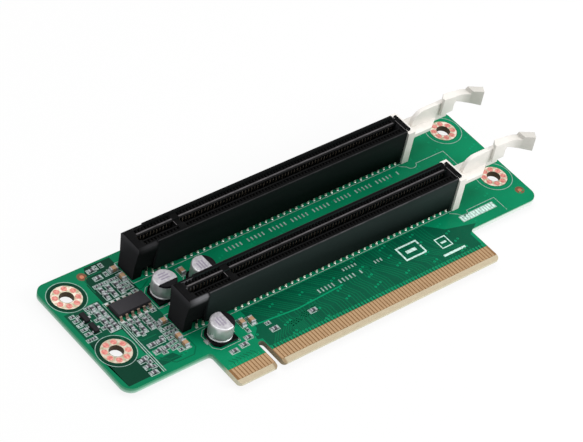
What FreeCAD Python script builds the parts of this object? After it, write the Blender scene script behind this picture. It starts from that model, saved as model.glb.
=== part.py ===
"""Two-slot riser card: an x16 card edge that feeds two x16 slots.

Millimetres. The origin is the middle of the key notch at the tip of the card edge, on the board's
component face. +X runs along the slots, +Y from the card edge to the board's back edge, and +Z
points out of the slots.
"""
import FreeCAD
import Part
import math
import os

from FreeCAD import Vector

# Contact numbering of the x16 interface, shared by the card edge and both slots.
contact_pitch = 1.0
short_side_contacts = 11
long_side_contacts = 71
key_to_first_contact = 1.5      # key centre to the nearest contact on either side

# Board.
board_thickness = 1.57
tongue_length = 11.6            # tip of the card edge to the shoulders
tongue_margin = 1.1             # last contact's centre to the side of the tongue
shoulder_corner_radius = 3.0
tongue_root_radius = 1.0
tongue_tip_radius = 1.0
notch_mouth_radius = 0.7
key_notch_width = 1.9
key_notch_depth = 8.6
bevel_length = 1.3
bevel_angle = 20.0

# Gold fingers.
finger_width = 0.7
finger_length = 3.5
plating_thickness = 0.05
finger_to_bevel = 0.05

# Mounting holes, a pair in line with each slot; the board's outline follows them.
mounting_hole_radius = 1.85
mounting_ring_radius = 4.1
hole_left_of_housing = 17.3     # from the housings' left end
hole_right_of_housing = 17.7    # from the housings' right end
hole_behind_slot = 0.34         # from the slot's centre line
hole_to_side_edge = 5.5
hole_to_back_edge = 6.58

# Slots.
slot_pitch = 20.32
slot_behind_shoulder = 11.66    # shoulders of the tongue to the front slot's centre line
housing_height = 11.25
housing_half_width = 3.6
housing_left_to_key = 14.7
side_wall_thickness = 0.8
wall_past_last_contact = 1.4    # last contact's centre to the end of the side walls
channel_half_width = 0.9
channel_past_last_contact = 1.2
channel_floor = 2.4
ledge_below_rim = 0.35          # the channel's two ledges stop this far below the rim
key_bar_half_width = 0.8
key_bar_below_rim = 0.8
foot_height = 1.2               # the side walls stop here, so that the solder tails show
foot_core_half_width = 1.4
tail_relief_height = 3.6        # the side walls reach full thickness here
end_block_length = 6.0
end_block_foot_half_width = 3.0
end_block_straight_height = 4.5
end_block_half_width = 3.8
end_block_shoulder = 10.4       # the end block is widest here
end_block_below_rim = 0.2
end_block_top_half_width = 3.3
neck_length = 0.7
neck_half_width = 2.1
end_flange_thickness = 0.7
end_flange_half_width = 3.0
peg_radius = 1.1
peg_clearance = 0.06
peg_below_board = 1.3
peg_tip_length = 0.4
peg_tip_taper = 0.3
peg_past_last_contact = 1.55

# Spring contacts: two staggered rows on each side of the channel.
contact_width = 0.5
contact_thickness = 0.3
contact_top = 9.2
contact_tip_from_centre = 1.05
inner_tail_from_centre = 1.75
outer_tail_from_centre = 3.0
tail_clearance = 0.1

# Retention clips on the right ends of the housings.
clip_clearance = 0.05
clip_leg_thickness = 1.1
clip_leg_length = 2.35
clip_height = 10.7
clip_yoke_bottom = 4.0
arm_bottom = 6.9
arm_flange_thickness = 1.2
arm_half_width = 3.0
arm_flange_length = 8.2         # from the housing's right end
arm_taper_length = 3.5
arm_web_from_housing = 3.0
arm_web_thickness = 1.2
arm_web_top = 12.9
arm_web_round = 4.0
lug_from_housing = 12.6
lug_length = 4.3
lug_front = 1.5                 # distances in front of and behind the slot's centre
lug_back = 0.8
lug_bottom = 9.0
lug_top = 14.6
finger_front = 1.3
finger_wall = 2.1
finger_straight_length = 4.0    # from the lug to the bend
finger_bent_length = 4.2
finger_sideways = 2.5
finger_bend_radius = 6.0
finger_underside = 11.9
finger_underside_at_tip = 8.9
finger_top = 13.9
finger_dip = 13.0
pad_length = 2.6
pad_top = 14.0

# Can capacitors.
can_radius = 3.15
can_top = 5.6
can_edge_chamfer = 0.4
can_base_side = 6.6
can_base_height = 0.9
can_base_chamfer = 1.3
can_lead_width = 0.7
can_lead_thickness = 0.2
can_lead_past_base = 0.5
can_lead_under_base = 1.2
# Each place is an anchor, x and y from it, and the direction of the negative lead in degrees.
can_places = [("end_middle", 3.7, -0.12, -90.0), ("key_middle", 0.3, -1.02, 0.0),
              ("key_front", -7.6, -8.36, 0.0)]

# The chip, a ten-millimetre small-outline package.
chip_place = ("end_middle", -5.9, 0.38, 0.0)
chip_length = 10.0
chip_width = 4.3
chip_thickness = 1.45
chip_standoff = 0.12
chip_draft = 0.15
chip_leads_per_side = 6
chip_lead_pitch = 1.75
chip_lead_width = 0.75
chip_lead_thickness = 0.2
chip_lead_reach = 1.0
chip_lead_exit_height = 0.8

# Transistors in three-legged packages, one above the other.
transistor_places = [("end_middle", -17.8, 2.48, 0.0), ("end_middle", -17.8, -1.32, 0.0)]
transistor_length = 3.0
transistor_width = 1.35
transistor_height = 1.0
transistor_lead_width = 0.45
transistor_lead_reach = 0.55
transistor_lead_thickness = 0.4
transistor_leg_spacing = 1.9

# Ceramic capacitors and chip resistors.
ceramic_length = 2.0
ceramic_width = 1.25
ceramic_height = 1.0
end_cap_length = 0.4
end_cap_lift = 0.03
resistor_length = 1.5
resistor_width = 0.8
resistor_height = 0.5
# Anchor, x and y from it, and turn in degrees of each tan ceramic capacitor.
ceramic_places = [("end_back", -1.9, 2.22, 0.0), ("end_back", -1.5, -0.88, 90.0),
                  ("end_front", -1.9, 2.34, 0.0), ("end_front", -1.7, -3.56, 90.0),
                  ("end_front", -1.7, -6.26, 90.0), ("key_middle", -2.3, 3.48, 90.0),
                  ("key_front", -0.1, -7.76, 90.0), ("key_front", 2.4, -8.26, 90.0)]
# Blocks of resistors: anchor, first place from it, pitch along X and Y, turn.
resistor_blocks = [
    ("end_back", (-8.7, -4.28), (2.2, 2.0), 90.0),
    ("end_middle", (-14.2, -3.22), (1.6, 2.5), 90.0),
    ("end_front", (-9.6, 2.74), (2.2, 2.0), 90.0),
    ("end_front", (-13.7, -9.86), (1.0, 2.2), 0.0),
    ("end_front", (-8.7, -4.86), (2.4, 2.4), 0.0),
    ("end_back", (-6.9, 1.82), (1.0, 2.8), 0.0),
    ("key_front", (5.9, -13.26), (12.2, 1.0), 0.0),
    ("key_front", (-1.5, -12.26), (1.0, 1.0), 0.0),
    ("key_front", (-4.0, -13.66), (1.0, 1.0), 0.0),
    ("key_front", (-7.4, -14.16), (1.0, 1.0), 0.0),
]
resistor_block_counts = [(3, 2), (2, 4), (3, 2), (1, 3), (2, 2), (1, 2), (2, 1), (1, 1), (1, 1), (1, 1)]

# Places that follow from the sizes above.
board_bottom = -board_thickness
first_contact_x = -(key_to_first_contact + (short_side_contacts - 1) * contact_pitch)
last_contact_x = key_to_first_contact + (long_side_contacts - 1) * contact_pitch
front_slot_y = tongue_length + slot_behind_shoulder
back_slot_y = front_slot_y + slot_pitch
slot_rows = [("front", front_slot_y), ("back", back_slot_y)]
wall_end_x = last_contact_x + wall_past_last_contact
neck_end_x = wall_end_x + neck_length
housing_right_x = neck_end_x + end_flange_thickness
housing_left_x = -housing_left_to_key
left_holes_x = housing_left_x - hole_left_of_housing
right_holes_x = housing_right_x + hole_right_of_housing
board_left = left_holes_x - hole_to_side_edge
board_right = right_holes_x + hole_to_side_edge
board_back = back_slot_y + hole_behind_slot + hole_to_back_edge
peg_x_places = [0.0, last_contact_x + peg_past_last_contact]
clip_leg_start_x = wall_end_x + clip_clearance
clip_leg_end_x = clip_leg_start_x + clip_leg_length
clip_half_width = end_flange_half_width + clip_clearance + clip_leg_thickness
arm_flange_end = housing_right_x + arm_flange_length
arm_taper_end = arm_flange_end + arm_taper_length
arm_web_start = housing_right_x + arm_web_from_housing
lug_start = housing_right_x + lug_from_housing
lug_end = lug_start + lug_length
finger_bend_start = lug_end + finger_straight_length
finger_tip = finger_bend_start + finger_bent_length
pad_start = finger_tip - pad_length

# Small parts are placed from the housings' left end or from the key, in line with a slot or midway.
middle_y = (front_slot_y + back_slot_y) / 2
anchors = {
    "end_front": (housing_left_x, front_slot_y), "end_middle": (housing_left_x, middle_y),
    "end_back": (housing_left_x, back_slot_y), "key_front": (0.0, front_slot_y),
    "key_middle": (0.0, middle_y),
}

os.makedirs("parts", exist_ok=True)


def export(name, shapes):
    """Write one sub-part; a list becomes a group of separate solids."""
    shape = Part.makeCompound(shapes) if isinstance(shapes, list) else shapes
    shape.exportStep(f"parts/{name}.step")


def box(x_range, y_range, z_range):
    """A box between two values on each axis."""
    size = [high - low for low, high in (x_range, y_range, z_range)]
    return Part.makeBox(*size, Vector(x_range[0], y_range[0], z_range[0]))


def mirrored(shape, y):
    """The shape's mirror image across the plane at the given y."""
    return shape.mirror(Vector(0, y, 0), Vector(0, 1, 0))


def prism_along_x(profile, x_range, y_centre=0.0):
    """A closed profile of (y, z) points, pushed from one x to another."""
    points = [Vector(x_range[0], y_centre + y, z) for y, z in profile]
    face = Part.Face(Part.makePolygon(points + points[:1]))
    return face.extrude(Vector(x_range[1] - x_range[0], 0, 0))


def prism_along_z(outline, z_range):
    """A closed outline of (x, y) points, raised from one height to another."""
    points = [Vector(x, y, z_range[0]) for x, y in outline]
    face = Part.Face(Part.makePolygon(points + points[:1]))
    return face.extrude(Vector(0, 0, z_range[1] - z_range[0]))


def upright_edges(shape, places):
    """The vertical edges of a shape that stand on the given (x, y) places."""
    found = []
    for edge in shape.Edges:
        start, end = edge.Vertexes[0].Point, edge.Vertexes[-1].Point
        if abs(start.z - end.z) < 1e-6:
            continue
        for x, y in places:
            at_start = math.hypot(start.x - x, start.y - y) < 1e-4
            at_end = math.hypot(end.x - x, end.y - y) < 1e-4
            if at_start and at_end:
                found.append(edge)
    return found


def contact_columns():
    """Centre x of every contact, with a flag for the columns whose tails are in the outer row."""
    short_side = [-key_to_first_contact - i * contact_pitch for i in range(short_side_contacts)]
    long_side = [key_to_first_contact + i * contact_pitch for i in range(long_side_contacts)]
    outer_short = [(x, i % 2 == 1) for i, x in enumerate(short_side)]
    outer_long = [(x, i % 2 == 0) for i, x in enumerate(long_side)]
    return outer_short + outer_long


def from_anchor(anchor, x, y, turn):
    """Board coordinates and turn of a place that is given from one of the anchors."""
    anchor_x, anchor_y = anchors[anchor]
    return anchor_x + x, anchor_y + y, turn


def placed(shape, x, y, turn=0.0):
    """A copy of a shape that was modelled at the origin, turned about Z and moved to its place."""
    copy = shape.copy()
    copy.rotate(Vector(0, 0, 0), Vector(0, 0, 1), turn)
    copy.translate(Vector(x, y, 0))
    return copy


# ---- Board ----

def mounting_places():
    """Centres of the four mounting holes."""
    rows = [slot_y + hole_behind_slot for _, slot_y in slot_rows]
    return [(x, y) for x in (left_holes_x, right_holes_x) for y in rows]


def board():
    """The routed laminate with its tongue, key notch, bevelled tip and drilled holes."""
    height = (board_bottom, 0)
    tongue_left = first_contact_x - tongue_margin
    tongue_right = last_contact_x + tongue_margin
    shoulders = box((board_left, board_right), (tongue_length, board_back), height)
    tongue = box((tongue_left, tongue_right), (0, tongue_length), height)
    shape = shoulders.fuse(tongue).removeSplitter()

    corners = [(x, y) for x in (board_left, board_right) for y in (tongue_length, board_back)]
    roots = [(tongue_left, tongue_length), (tongue_right, tongue_length)]
    shape = shape.makeFillet(shoulder_corner_radius, upright_edges(shape, corners))
    shape = shape.makeFillet(tongue_root_radius, upright_edges(shape, roots))

    notch_radius = key_notch_width / 2
    notch_straight = key_notch_depth - notch_radius
    shape = shape.cut(box((-notch_radius, notch_radius), (-1, notch_straight), height))
    tips = [(tongue_left, 0), (tongue_right, 0)]
    mouth = [(-notch_radius, 0), (notch_radius, 0)]
    shape = shape.makeFillet(tongue_tip_radius, upright_edges(shape, tips))
    shape = shape.makeFillet(notch_mouth_radius, upright_edges(shape, mouth))

    cuts = [drilled(notch_radius, 0, notch_straight)]
    cuts += [drilled(mounting_hole_radius, x, y) for x, y in mounting_places()]
    for _, slot_y in slot_rows:
        cuts += [drilled(peg_radius + peg_clearance, x, slot_y) for x in peg_x_places]

    drop = bevel_length * math.tan(math.radians(bevel_angle))
    wedge = [(bevel_length, 0), (0, -drop), (-1, -drop), (-1, 1), (bevel_length, 1)]
    lower_wedge = [(y, board_bottom - z) for y, z in wedge]
    across = (tongue_left - 1, tongue_right + 1)
    cuts += [prism_along_x(wedge, across), prism_along_x(lower_wedge, across)]
    return shape.cut(cuts)


def drilled(radius, x, y):
    """The cylinder that a drill of this radius takes out of the board."""
    return Part.makeCylinder(radius, board_thickness + 2, Vector(x, y, board_bottom - 1))


def fingers(z_range):
    """The gold contact pads on one face of the card edge."""
    start = bevel_length + finger_to_bevel
    pads = []
    for x, _ in contact_columns():
        across = (x - finger_width / 2, x + finger_width / 2)
        pads.append(box(across, (start, start + finger_length), z_range))
    return pads


def mounting_ring():
    """The tinned ring round a mounting hole on the component face."""
    ring = Part.makeCylinder(mounting_ring_radius, plating_thickness)
    return ring.cut(Part.makeCylinder(mounting_hole_radius, plating_thickness))


# ---- Slots ----

def side_wall_inside():
    """Distance from the slot's centre to the inner face of a side wall."""
    return housing_half_width - side_wall_thickness


def foot_half_width():
    """Half width of the housing's foot, just inside the outer row of solder tails."""
    return outer_tail_from_centre - tail_clearance


def contact_runs():
    """The two stretches of x that hold contacts, one on each side of the key."""
    half = contact_pitch / 2
    short_side = (first_contact_x - half, -key_to_first_contact + half)
    long_side = (key_to_first_contact - half, last_contact_x + half)
    return [short_side, long_side]


def contact_cavity(x_range, slot_y):
    """The space that one run of contacts leans through, on the front side of the channel."""
    inside = side_wall_inside()
    top = housing_height + 1
    relief = outer_tail_from_centre + contact_thickness + tail_clearance
    lean = (inner_tail_from_centre - contact_tip_from_centre) * channel_floor / contact_top
    core = inner_tail_from_centre - lean - tail_clearance
    profile = [(-core, -1), (-core, channel_floor), (0, channel_floor), (0, top), (-inside, top),
               (-inside, tail_relief_height), (-relief, foot_height), (-relief, -1)]
    return prism_along_x(profile, x_range, slot_y)


def slot_housing(slot_y):
    """One moulded housing: side walls, channel with its key bar, end block, end wall and pegs."""
    left = housing_left_x
    height = (0, housing_height)
    half = housing_half_width
    shape = box((left, wall_end_x), (slot_y - half, slot_y + half), height)

    shape = shape.cut(box((left, left + end_block_length), (slot_y - half, slot_y + half), height))
    neck = box((wall_end_x, neck_end_x), (slot_y - neck_half_width, slot_y + neck_half_width), height)
    flange_y = (slot_y - end_flange_half_width, slot_y + end_flange_half_width)
    flange = box((neck_end_x, housing_right_x), flange_y, height)
    shape = shape.fuse([end_block(slot_y), neck, flange])

    channel_x = (first_contact_x - channel_past_last_contact, last_contact_x + channel_past_last_contact)
    channel_y = (slot_y - channel_half_width, slot_y + channel_half_width)
    cuts = [box(channel_x, channel_y, (channel_floor, housing_height + 1))]
    inside = side_wall_inside()
    ledge_z = (housing_height - ledge_below_rim, housing_height + 1)
    cuts.append(box(channel_x, (slot_y - inside, slot_y + inside), ledge_z))
    for run in contact_runs():
        cavity = contact_cavity(run, slot_y)
        cuts += [cavity, mirrored(cavity, slot_y)]
    foot_x = (first_contact_x - contact_pitch / 2, last_contact_x + contact_pitch / 2)
    undercut = box(foot_x, (slot_y - half - 1, slot_y - foot_half_width()), (-1, foot_height))
    shape = shape.cut(cuts + [undercut, mirrored(undercut, slot_y)])

    key_bar = box((-key_bar_half_width, key_bar_half_width), channel_y,
                  (channel_floor, housing_height - key_bar_below_rim))
    return shape.fuse([key_bar] + [peg(x, slot_y) for x in peg_x_places]).removeSplitter()


def end_block(slot_y):
    """The solid left end of a housing: narrow at the foot, wide at the top, with soft top edges."""
    top = housing_height - end_block_below_rim
    one_side = [(end_block_foot_half_width, 0), (end_block_foot_half_width, end_block_straight_height),
                (end_block_half_width, end_block_shoulder), (end_block_top_half_width, top)]
    other_side = [(-y, z) for y, z in reversed(one_side)]
    across = (housing_left_x, housing_left_x + end_block_length)
    return prism_along_x(one_side + other_side, across, slot_y)


def hexagon(radius, x, y, z):
    """A level hexagon round (x, y), by the radius of its corners."""
    angles = [math.radians(60 * i) for i in range(6)]
    corners = [Vector(x + radius * math.cos(a), y + radius * math.sin(a), z) for a in angles]
    return Part.makePolygon(corners + corners[:1])


def peg(x, slot_y):
    """A hexagonal locating peg that goes through the board and stands proud below it."""
    tip = -board_thickness - peg_below_board
    shoulder = tip + peg_tip_length
    shaft = Part.Face(hexagon(peg_radius, x, slot_y, shoulder)).extrude(Vector(0, 0, -shoulder))
    ends = [hexagon(peg_radius - peg_tip_taper, x, slot_y, tip), hexagon(peg_radius, x, slot_y, shoulder)]
    return shaft.fuse(Part.makeLoft(ends, True, True))


def contact(x, slot_y, side, is_outer):
    """A spring contact: a strip that leans from its tail at the board in to the channel."""
    tail = outer_tail_from_centre if is_outer else inner_tail_from_centre
    tip = contact_tip_from_centre
    thick = contact_thickness
    profile = [(tail, 0), (tip, contact_top), (tip + thick, contact_top), (tail + thick, 0)]
    across = (x - contact_width / 2, x + contact_width / 2)
    return prism_along_x([(side * y, z) for y, z in profile], across, slot_y)


def slot_contacts(slot_y):
    """Every contact of one slot."""
    return [contact(x, slot_y, side, is_outer) for x, is_outer in contact_columns() for side in (-1, 1)]


# ---- Retention clips ----

def clip_leg(slot_y):
    """The front leg: a plate outside the housing with a rib that runs in the end wall's groove."""
    height = (0, clip_height)
    rib_inner = slot_y - neck_half_width - clip_clearance
    plate_inner = slot_y - end_flange_half_width - clip_clearance
    outer = slot_y - clip_half_width
    plate = box((clip_leg_start_x, clip_leg_end_x), (outer, plate_inner), height)
    rib = box((clip_leg_start_x, neck_end_x - clip_clearance), (plate_inner, rib_inner), height)
    return plate.fuse(rib)


def clip_arm(slot_y):
    """The arm: a level flange that narrows to the right, and the web that stands on it."""
    start = housing_right_x + clip_clearance
    half = arm_web_thickness / 2
    one_side = [(start, arm_half_width), (arm_flange_end, arm_half_width),
                (arm_taper_end, half), (lug_start, half)]
    outline = one_side + [(x, -y) for x, y in reversed(one_side)]
    outline = [(x, slot_y + y) for x, y in outline]
    flange = prism_along_z(outline, (arm_bottom, arm_bottom + arm_flange_thickness))

    web = box((arm_web_start, lug_end - 1), (slot_y - half, slot_y + half), (arm_bottom, arm_web_top))
    corner = [edge for edge in web.Edges
              if abs(edge.BoundBox.ZMin - arm_web_top) < 1e-6
              and abs(edge.BoundBox.XMax - arm_web_start) < 1e-6]
    return [flange, web.makeFillet(arm_web_round, corner)]


def finger_plan():
    """The lug and the finger seen from above, with the bend's two corners."""
    run, rise = finger_tip - finger_bend_start, -finger_sideways
    slope = math.atan2(rise, run)
    across = (-finger_wall * math.sin(slope), finger_wall * math.cos(slope))
    back = finger_wall - finger_front
    front_bend = (finger_bend_start, -finger_front)
    front_tip = (finger_tip, -finger_front + rise)
    back_tip = (front_tip[0] + across[0], front_tip[1] + across[1])
    back_bend = (finger_bend_start - finger_wall * math.tan(slope / 2), back)
    outline = [(lug_start, -lug_front), (lug_end, -lug_front), (lug_end, -finger_front), front_bend,
               front_tip, back_tip, back_bend, (lug_end, back), (lug_start + lug_front, lug_back),
               (lug_start, -lug_back)]
    return outline, front_bend, back_bend


def clip_finger(slot_y):
    """The lug and the bent finger wall behind it, cut to their side view."""
    outline, front_bend, back_bend = finger_plan()
    below = min(lug_bottom, finger_underside_at_tip) - 1
    wall = prism_along_z([(x, slot_y + y) for x, y in outline], (below, lug_top + 1))
    for radius, (x, y) in ((finger_bend_radius, front_bend), (finger_bend_radius - finger_wall, back_bend)):
        wall = wall.makeFillet(radius, upright_edges(wall, [(x, slot_y + y)]))

    tip_x = max(x for x, _ in outline)
    bend = finger_bend_start
    side_view = [(lug_start, lug_bottom), (lug_end, lug_bottom), (lug_end, finger_underside - 1),
                 (lug_end + 0.7, finger_underside), (bend, finger_underside - 1.6),
                 (tip_x, finger_underside_at_tip), (tip_x, pad_top), (pad_start, pad_top),
                 (pad_start - 0.4, finger_dip), (lug_end + 1, finger_top), (lug_start, lug_top)]
    half_span = lug_front + finger_sideways + finger_wall
    points = [Vector(x, slot_y - half_span, z) for x, z in side_view]
    profile = Part.Face(Part.makePolygon(points + points[:1])).extrude(Vector(0, 2 * half_span, 0))
    return wall.common(profile)


def retention_clip(slot_y):
    """One white moulding: two legs, the yoke between them, the arm, the lug and the finger."""
    leg = clip_leg(slot_y)
    yoke_x = (housing_right_x + clip_clearance, clip_leg_end_x)
    yoke_half = clip_half_width - clip_leg_thickness
    yoke = box(yoke_x, (slot_y - yoke_half, slot_y + yoke_half), (clip_yoke_bottom, clip_height))
    pieces = [mirrored(leg, slot_y), yoke] + clip_arm(slot_y) + [clip_finger(slot_y)]
    return leg.fuse(pieces).removeSplitter()


# ---- Can capacitors ----

def can_shell():
    """The aluminium can with the soft edge of its drawn end."""
    can = Part.makeCylinder(can_radius, can_top - can_base_height, Vector(0, 0, can_base_height))
    top_edge = [edge for edge in can.Edges if abs(edge.BoundBox.ZMin - can_top) < 1e-6]
    return can.makeChamfer(can_edge_chamfer, top_edge)


def can_base():
    """The square plastic base, with the two corners on the positive side cut off."""
    half, cut = can_base_side / 2, can_base_chamfer
    outline = [(half, -half), (half, half), (-half + cut, half), (-half, half - cut), (-half, -half + cut),
               (-half + cut, -half)]
    return prism_along_z(outline, (can_lead_thickness, can_base_height))


def can_leads():
    """The two flat leads that come out from under the base."""
    outer = can_base_side / 2 + can_lead_past_base
    inner = can_base_side / 2 - can_lead_under_base
    width = (-can_lead_width / 2, can_lead_width / 2)
    height = (0, can_lead_thickness)
    return [box((inner, outer), width, height), box((-outer, -inner), width, height)]


# ---- Chip and transistors ----

def chip_body():
    """The moulded package, drafted upwards from its leads."""
    low, high = chip_standoff, chip_standoff + chip_thickness
    wires = []
    for z, inset in ((low, chip_draft), (chip_lead_exit_height, 0.0), (high, chip_draft)):
        x, y = chip_length / 2 - inset, chip_width / 2 - inset
        corners = [Vector(-x, -y, z), Vector(x, -y, z), Vector(x, y, z), Vector(-x, y, z)]
        wires.append(Part.makePolygon(corners + corners[:1]))
    lower = Part.makeLoft(wires[:2], True, True)
    upper = Part.makeLoft(wires[1:], True, True)
    return lower.fuse(upper)


def chip_leads():
    """Gull-wing leads along both long sides."""
    edge = chip_width / 2
    thick = chip_lead_thickness
    knee = edge + chip_lead_reach / 2
    toe = edge + chip_lead_reach
    top = chip_lead_exit_height + thick / 2
    profile = [(edge, top), (knee, thick), (toe, thick), (toe, 0), (knee - thick, 0), (edge, top - thick)]
    leads = []
    for i in range(chip_leads_per_side):
        x = (i - (chip_leads_per_side - 1) / 2) * chip_lead_pitch
        across = (x - chip_lead_width / 2, x + chip_lead_width / 2)
        for side in (-1, 1):
            leads.append(prism_along_x([(side * y, z) for y, z in profile], across))
    return leads


def transistor_body():
    """The moulded body, its long side along Y."""
    across, along = transistor_width / 2, transistor_length / 2
    height = (chip_standoff, transistor_height)
    return box((-across, across), (-along, along), height)


def transistor_leads():
    """Two legs on the left and one on the right."""
    inner = transistor_width / 2
    outer = inner + transistor_lead_reach
    half = transistor_lead_width / 2
    height = (0, transistor_lead_thickness)
    legs = [(-1, -transistor_leg_spacing / 2), (-1, transistor_leg_spacing / 2), (1, 0.0)]
    leads = []
    for side, y in legs:
        across = (inner, outer) if side > 0 else (-outer, -inner)
        leads.append(box(across, (y - half, y + half), height))
    return leads


# ---- Chip parts ----

def ceramic_body():
    """The fired body between the end caps, its length along X."""
    half = ceramic_length / 2 - end_cap_length
    side = ceramic_width / 2
    return box((-half, half), (-side, side), (0, ceramic_height))


def ceramic_end_caps():
    """The two metal caps, a little fuller than the body."""
    half = ceramic_length / 2
    side = ceramic_width / 2 + end_cap_lift
    height = (0, ceramic_height + end_cap_lift)
    right = box((half - end_cap_length, half), (-side, side), height)
    left = box((-half, -half + end_cap_length), (-side, side), height)
    return [left, right]


def resistor():
    """A chip resistor, its length along X."""
    half, side = resistor_length / 2, resistor_width / 2
    return box((-half, half), (-side, side), (0, resistor_height))


def resistor_places():
    """Place and turn of every resistor in the blocks."""
    places = []
    for block, (count_x, count_y) in zip(resistor_blocks, resistor_block_counts):
        anchor, (x0, y0), (pitch_x, pitch_y), turn = block
        for i in range(count_x):
            for j in range(count_y):
                places.append((anchor, x0 + i * pitch_x, y0 + j * pitch_y, turn))
    return places


def copies(shapes, places):
    """Copies of some shapes at every place, each place being an anchor, x, y and a turn."""
    return [placed(shape, *from_anchor(*place)) for place in places for shape in shapes]


export("board", board())
export("gold_fingers_top", fingers((0, plating_thickness)))
export("gold_fingers_bottom", fingers((board_bottom - plating_thickness, board_bottom)))
export("mounting_hole_rings", [placed(mounting_ring(), x, y) for x, y in mounting_places()])

for slot_name, slot_y in slot_rows:
    export(f"slot_housing_{slot_name}", slot_housing(slot_y))
    export(f"slot_contacts_{slot_name}", slot_contacts(slot_y))
    export(f"retention_clip_{slot_name}", retention_clip(slot_y))

export("capacitor_cans", copies([can_shell()], can_places))
export("capacitor_bases", copies([can_base()], can_places))
export("capacitor_leads", copies(can_leads(), can_places))
export("chip_body", placed(chip_body(), *from_anchor(*chip_place)))
export("chip_leads", copies(chip_leads(), [chip_place]))
export("transistor_bodies", copies([transistor_body()], transistor_places))
export("transistor_leads", copies(transistor_leads(), transistor_places))
export("ceramic_capacitor_bodies", copies([ceramic_body()], ceramic_places))
export("ceramic_capacitor_end_caps", copies(ceramic_end_caps(), ceramic_places))
export("resistors", copies([resistor()], resistor_places()))
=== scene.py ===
"""Dressing for the two-slot riser card.

Every shape is written in millimetres in the card's own frame: the origin is the middle of the key
notch at the tip of the card edge, +X runs along the slots, +Y to the back and +Z out of the slots.
"""
import math
from functools import partial
from itertools import islice

import bmesh
import bpy
from bpy.props import FloatProperty, FloatVectorProperty, IntProperty, PointerProperty
from mathutils import Matrix, Vector


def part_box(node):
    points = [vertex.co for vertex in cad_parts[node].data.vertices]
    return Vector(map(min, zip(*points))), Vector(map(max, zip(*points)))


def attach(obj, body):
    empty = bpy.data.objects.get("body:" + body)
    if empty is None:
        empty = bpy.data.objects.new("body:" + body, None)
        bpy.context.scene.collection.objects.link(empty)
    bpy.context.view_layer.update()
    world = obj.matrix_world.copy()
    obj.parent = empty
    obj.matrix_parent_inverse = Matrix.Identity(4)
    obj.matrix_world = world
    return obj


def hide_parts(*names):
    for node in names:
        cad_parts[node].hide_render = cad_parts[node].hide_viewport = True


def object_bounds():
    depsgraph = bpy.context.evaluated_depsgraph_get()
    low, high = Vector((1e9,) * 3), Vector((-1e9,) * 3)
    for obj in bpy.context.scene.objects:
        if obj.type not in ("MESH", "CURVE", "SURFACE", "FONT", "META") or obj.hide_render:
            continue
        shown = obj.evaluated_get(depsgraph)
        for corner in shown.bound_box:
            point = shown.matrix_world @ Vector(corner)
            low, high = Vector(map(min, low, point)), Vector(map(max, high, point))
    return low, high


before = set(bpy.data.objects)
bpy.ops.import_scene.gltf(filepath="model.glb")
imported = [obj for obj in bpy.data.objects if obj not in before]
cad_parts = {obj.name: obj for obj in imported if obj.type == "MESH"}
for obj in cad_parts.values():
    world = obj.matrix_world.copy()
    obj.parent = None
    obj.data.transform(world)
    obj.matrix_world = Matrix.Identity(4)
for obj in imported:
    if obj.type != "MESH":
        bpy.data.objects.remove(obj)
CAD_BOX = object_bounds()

bl_info = {
    "name": "Riser card",
    "version": (1, 0, 0),
    "blender": (4, 5, 0),
    "location": "3D View > Sidebar > Riser Card",
    "description": "Builds the visible pieces of a two-slot riser card over its solid parts",
    "category": "Add Mesh",
}


def node_box(node):
    """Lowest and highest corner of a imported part, in millimetres."""
    low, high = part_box(node)
    return [1000 * v for v in low], [1000 * v for v in high]


# ---- Places that the solid parts give ----

BOARD_BOTTOM = node_box("board")[0][2]
FLOOR_LEVEL = CAD_BOX[0][2]
SLOT_NAMES = ("front", "back")
CONTACT_PITCH = 1.0
FIRST_CONTACT = 1.5
LONG_SIDE_CONTACTS = 71
SHORT_SIDE_CONTACTS = 11
OUTER_TAIL = 3.02
INNER_TAIL = 1.77
TONGUE_TOP = 11.6
FINGER_TOP = 4.85
WALL_INSIDE = 2.8
WALL_END = 72.9
CHANNEL_HALF = 0.9
CHANNEL_FLOOR = 2.4


def slot_middle(name):
    """Y of a slot's centre line."""
    low, high = node_box(f"slot_housing_{name}")
    return (low[1] + high[1]) / 2


SLOT_Y = {name: slot_middle(name) for name in SLOT_NAMES}
BETWEEN_SLOTS = sum(SLOT_Y.values()) / 2
HOUSING_LOW, HOUSING_HIGH = node_box("slot_housing_front")
HOUSING_START = HOUSING_LOW[0]
BLOCK_END = HOUSING_START + 6.0
RIM = HOUSING_HIGH[2]
RINGS_LOW, RINGS_HIGH = node_box("mounting_hole_rings")
RING_RADIUS = 4.1
HOLE_RADIUS = 1.85
HOLE_PLACES = [(x, y) for x in (RINGS_LOW[0] + RING_RADIUS, RINGS_HIGH[0] - RING_RADIUS)
               for y in (RINGS_LOW[1] + RING_RADIUS, RINGS_HIGH[1] - RING_RADIUS)]
FIDUCIAL_PLACES = [(-24.75, 47.7), (94.7, 16.2)]

# x, y and the direction of the negative lead in degrees
CAN_PLACES = [(-11.0, 33.3, -90.0), (0.3, 32.4, 0.0), (-7.6, 14.9, 0.0)]
CAN_RADIUS = 3.15
CHIP_PLACE = (-20.6, 33.8)
CHIP_LEADS_A_SIDE = 6
CHIP_LEAD_PITCH = 1.75
TRANSISTOR_PLACES = [(-32.5, 35.9), (-32.5, 32.1)]
CERAMIC_PLACES = [(-16.6, 45.8, 0.0), (-16.2, 42.7, 90.0), (-16.6, 25.6, 0.0), (-16.4, 19.7, 90.0),
                  (-16.4, 17.0, 90.0), (-2.3, 36.9, 90.0), (-0.1, 15.5, 90.0), (2.4, 15.0, 90.0)]
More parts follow.
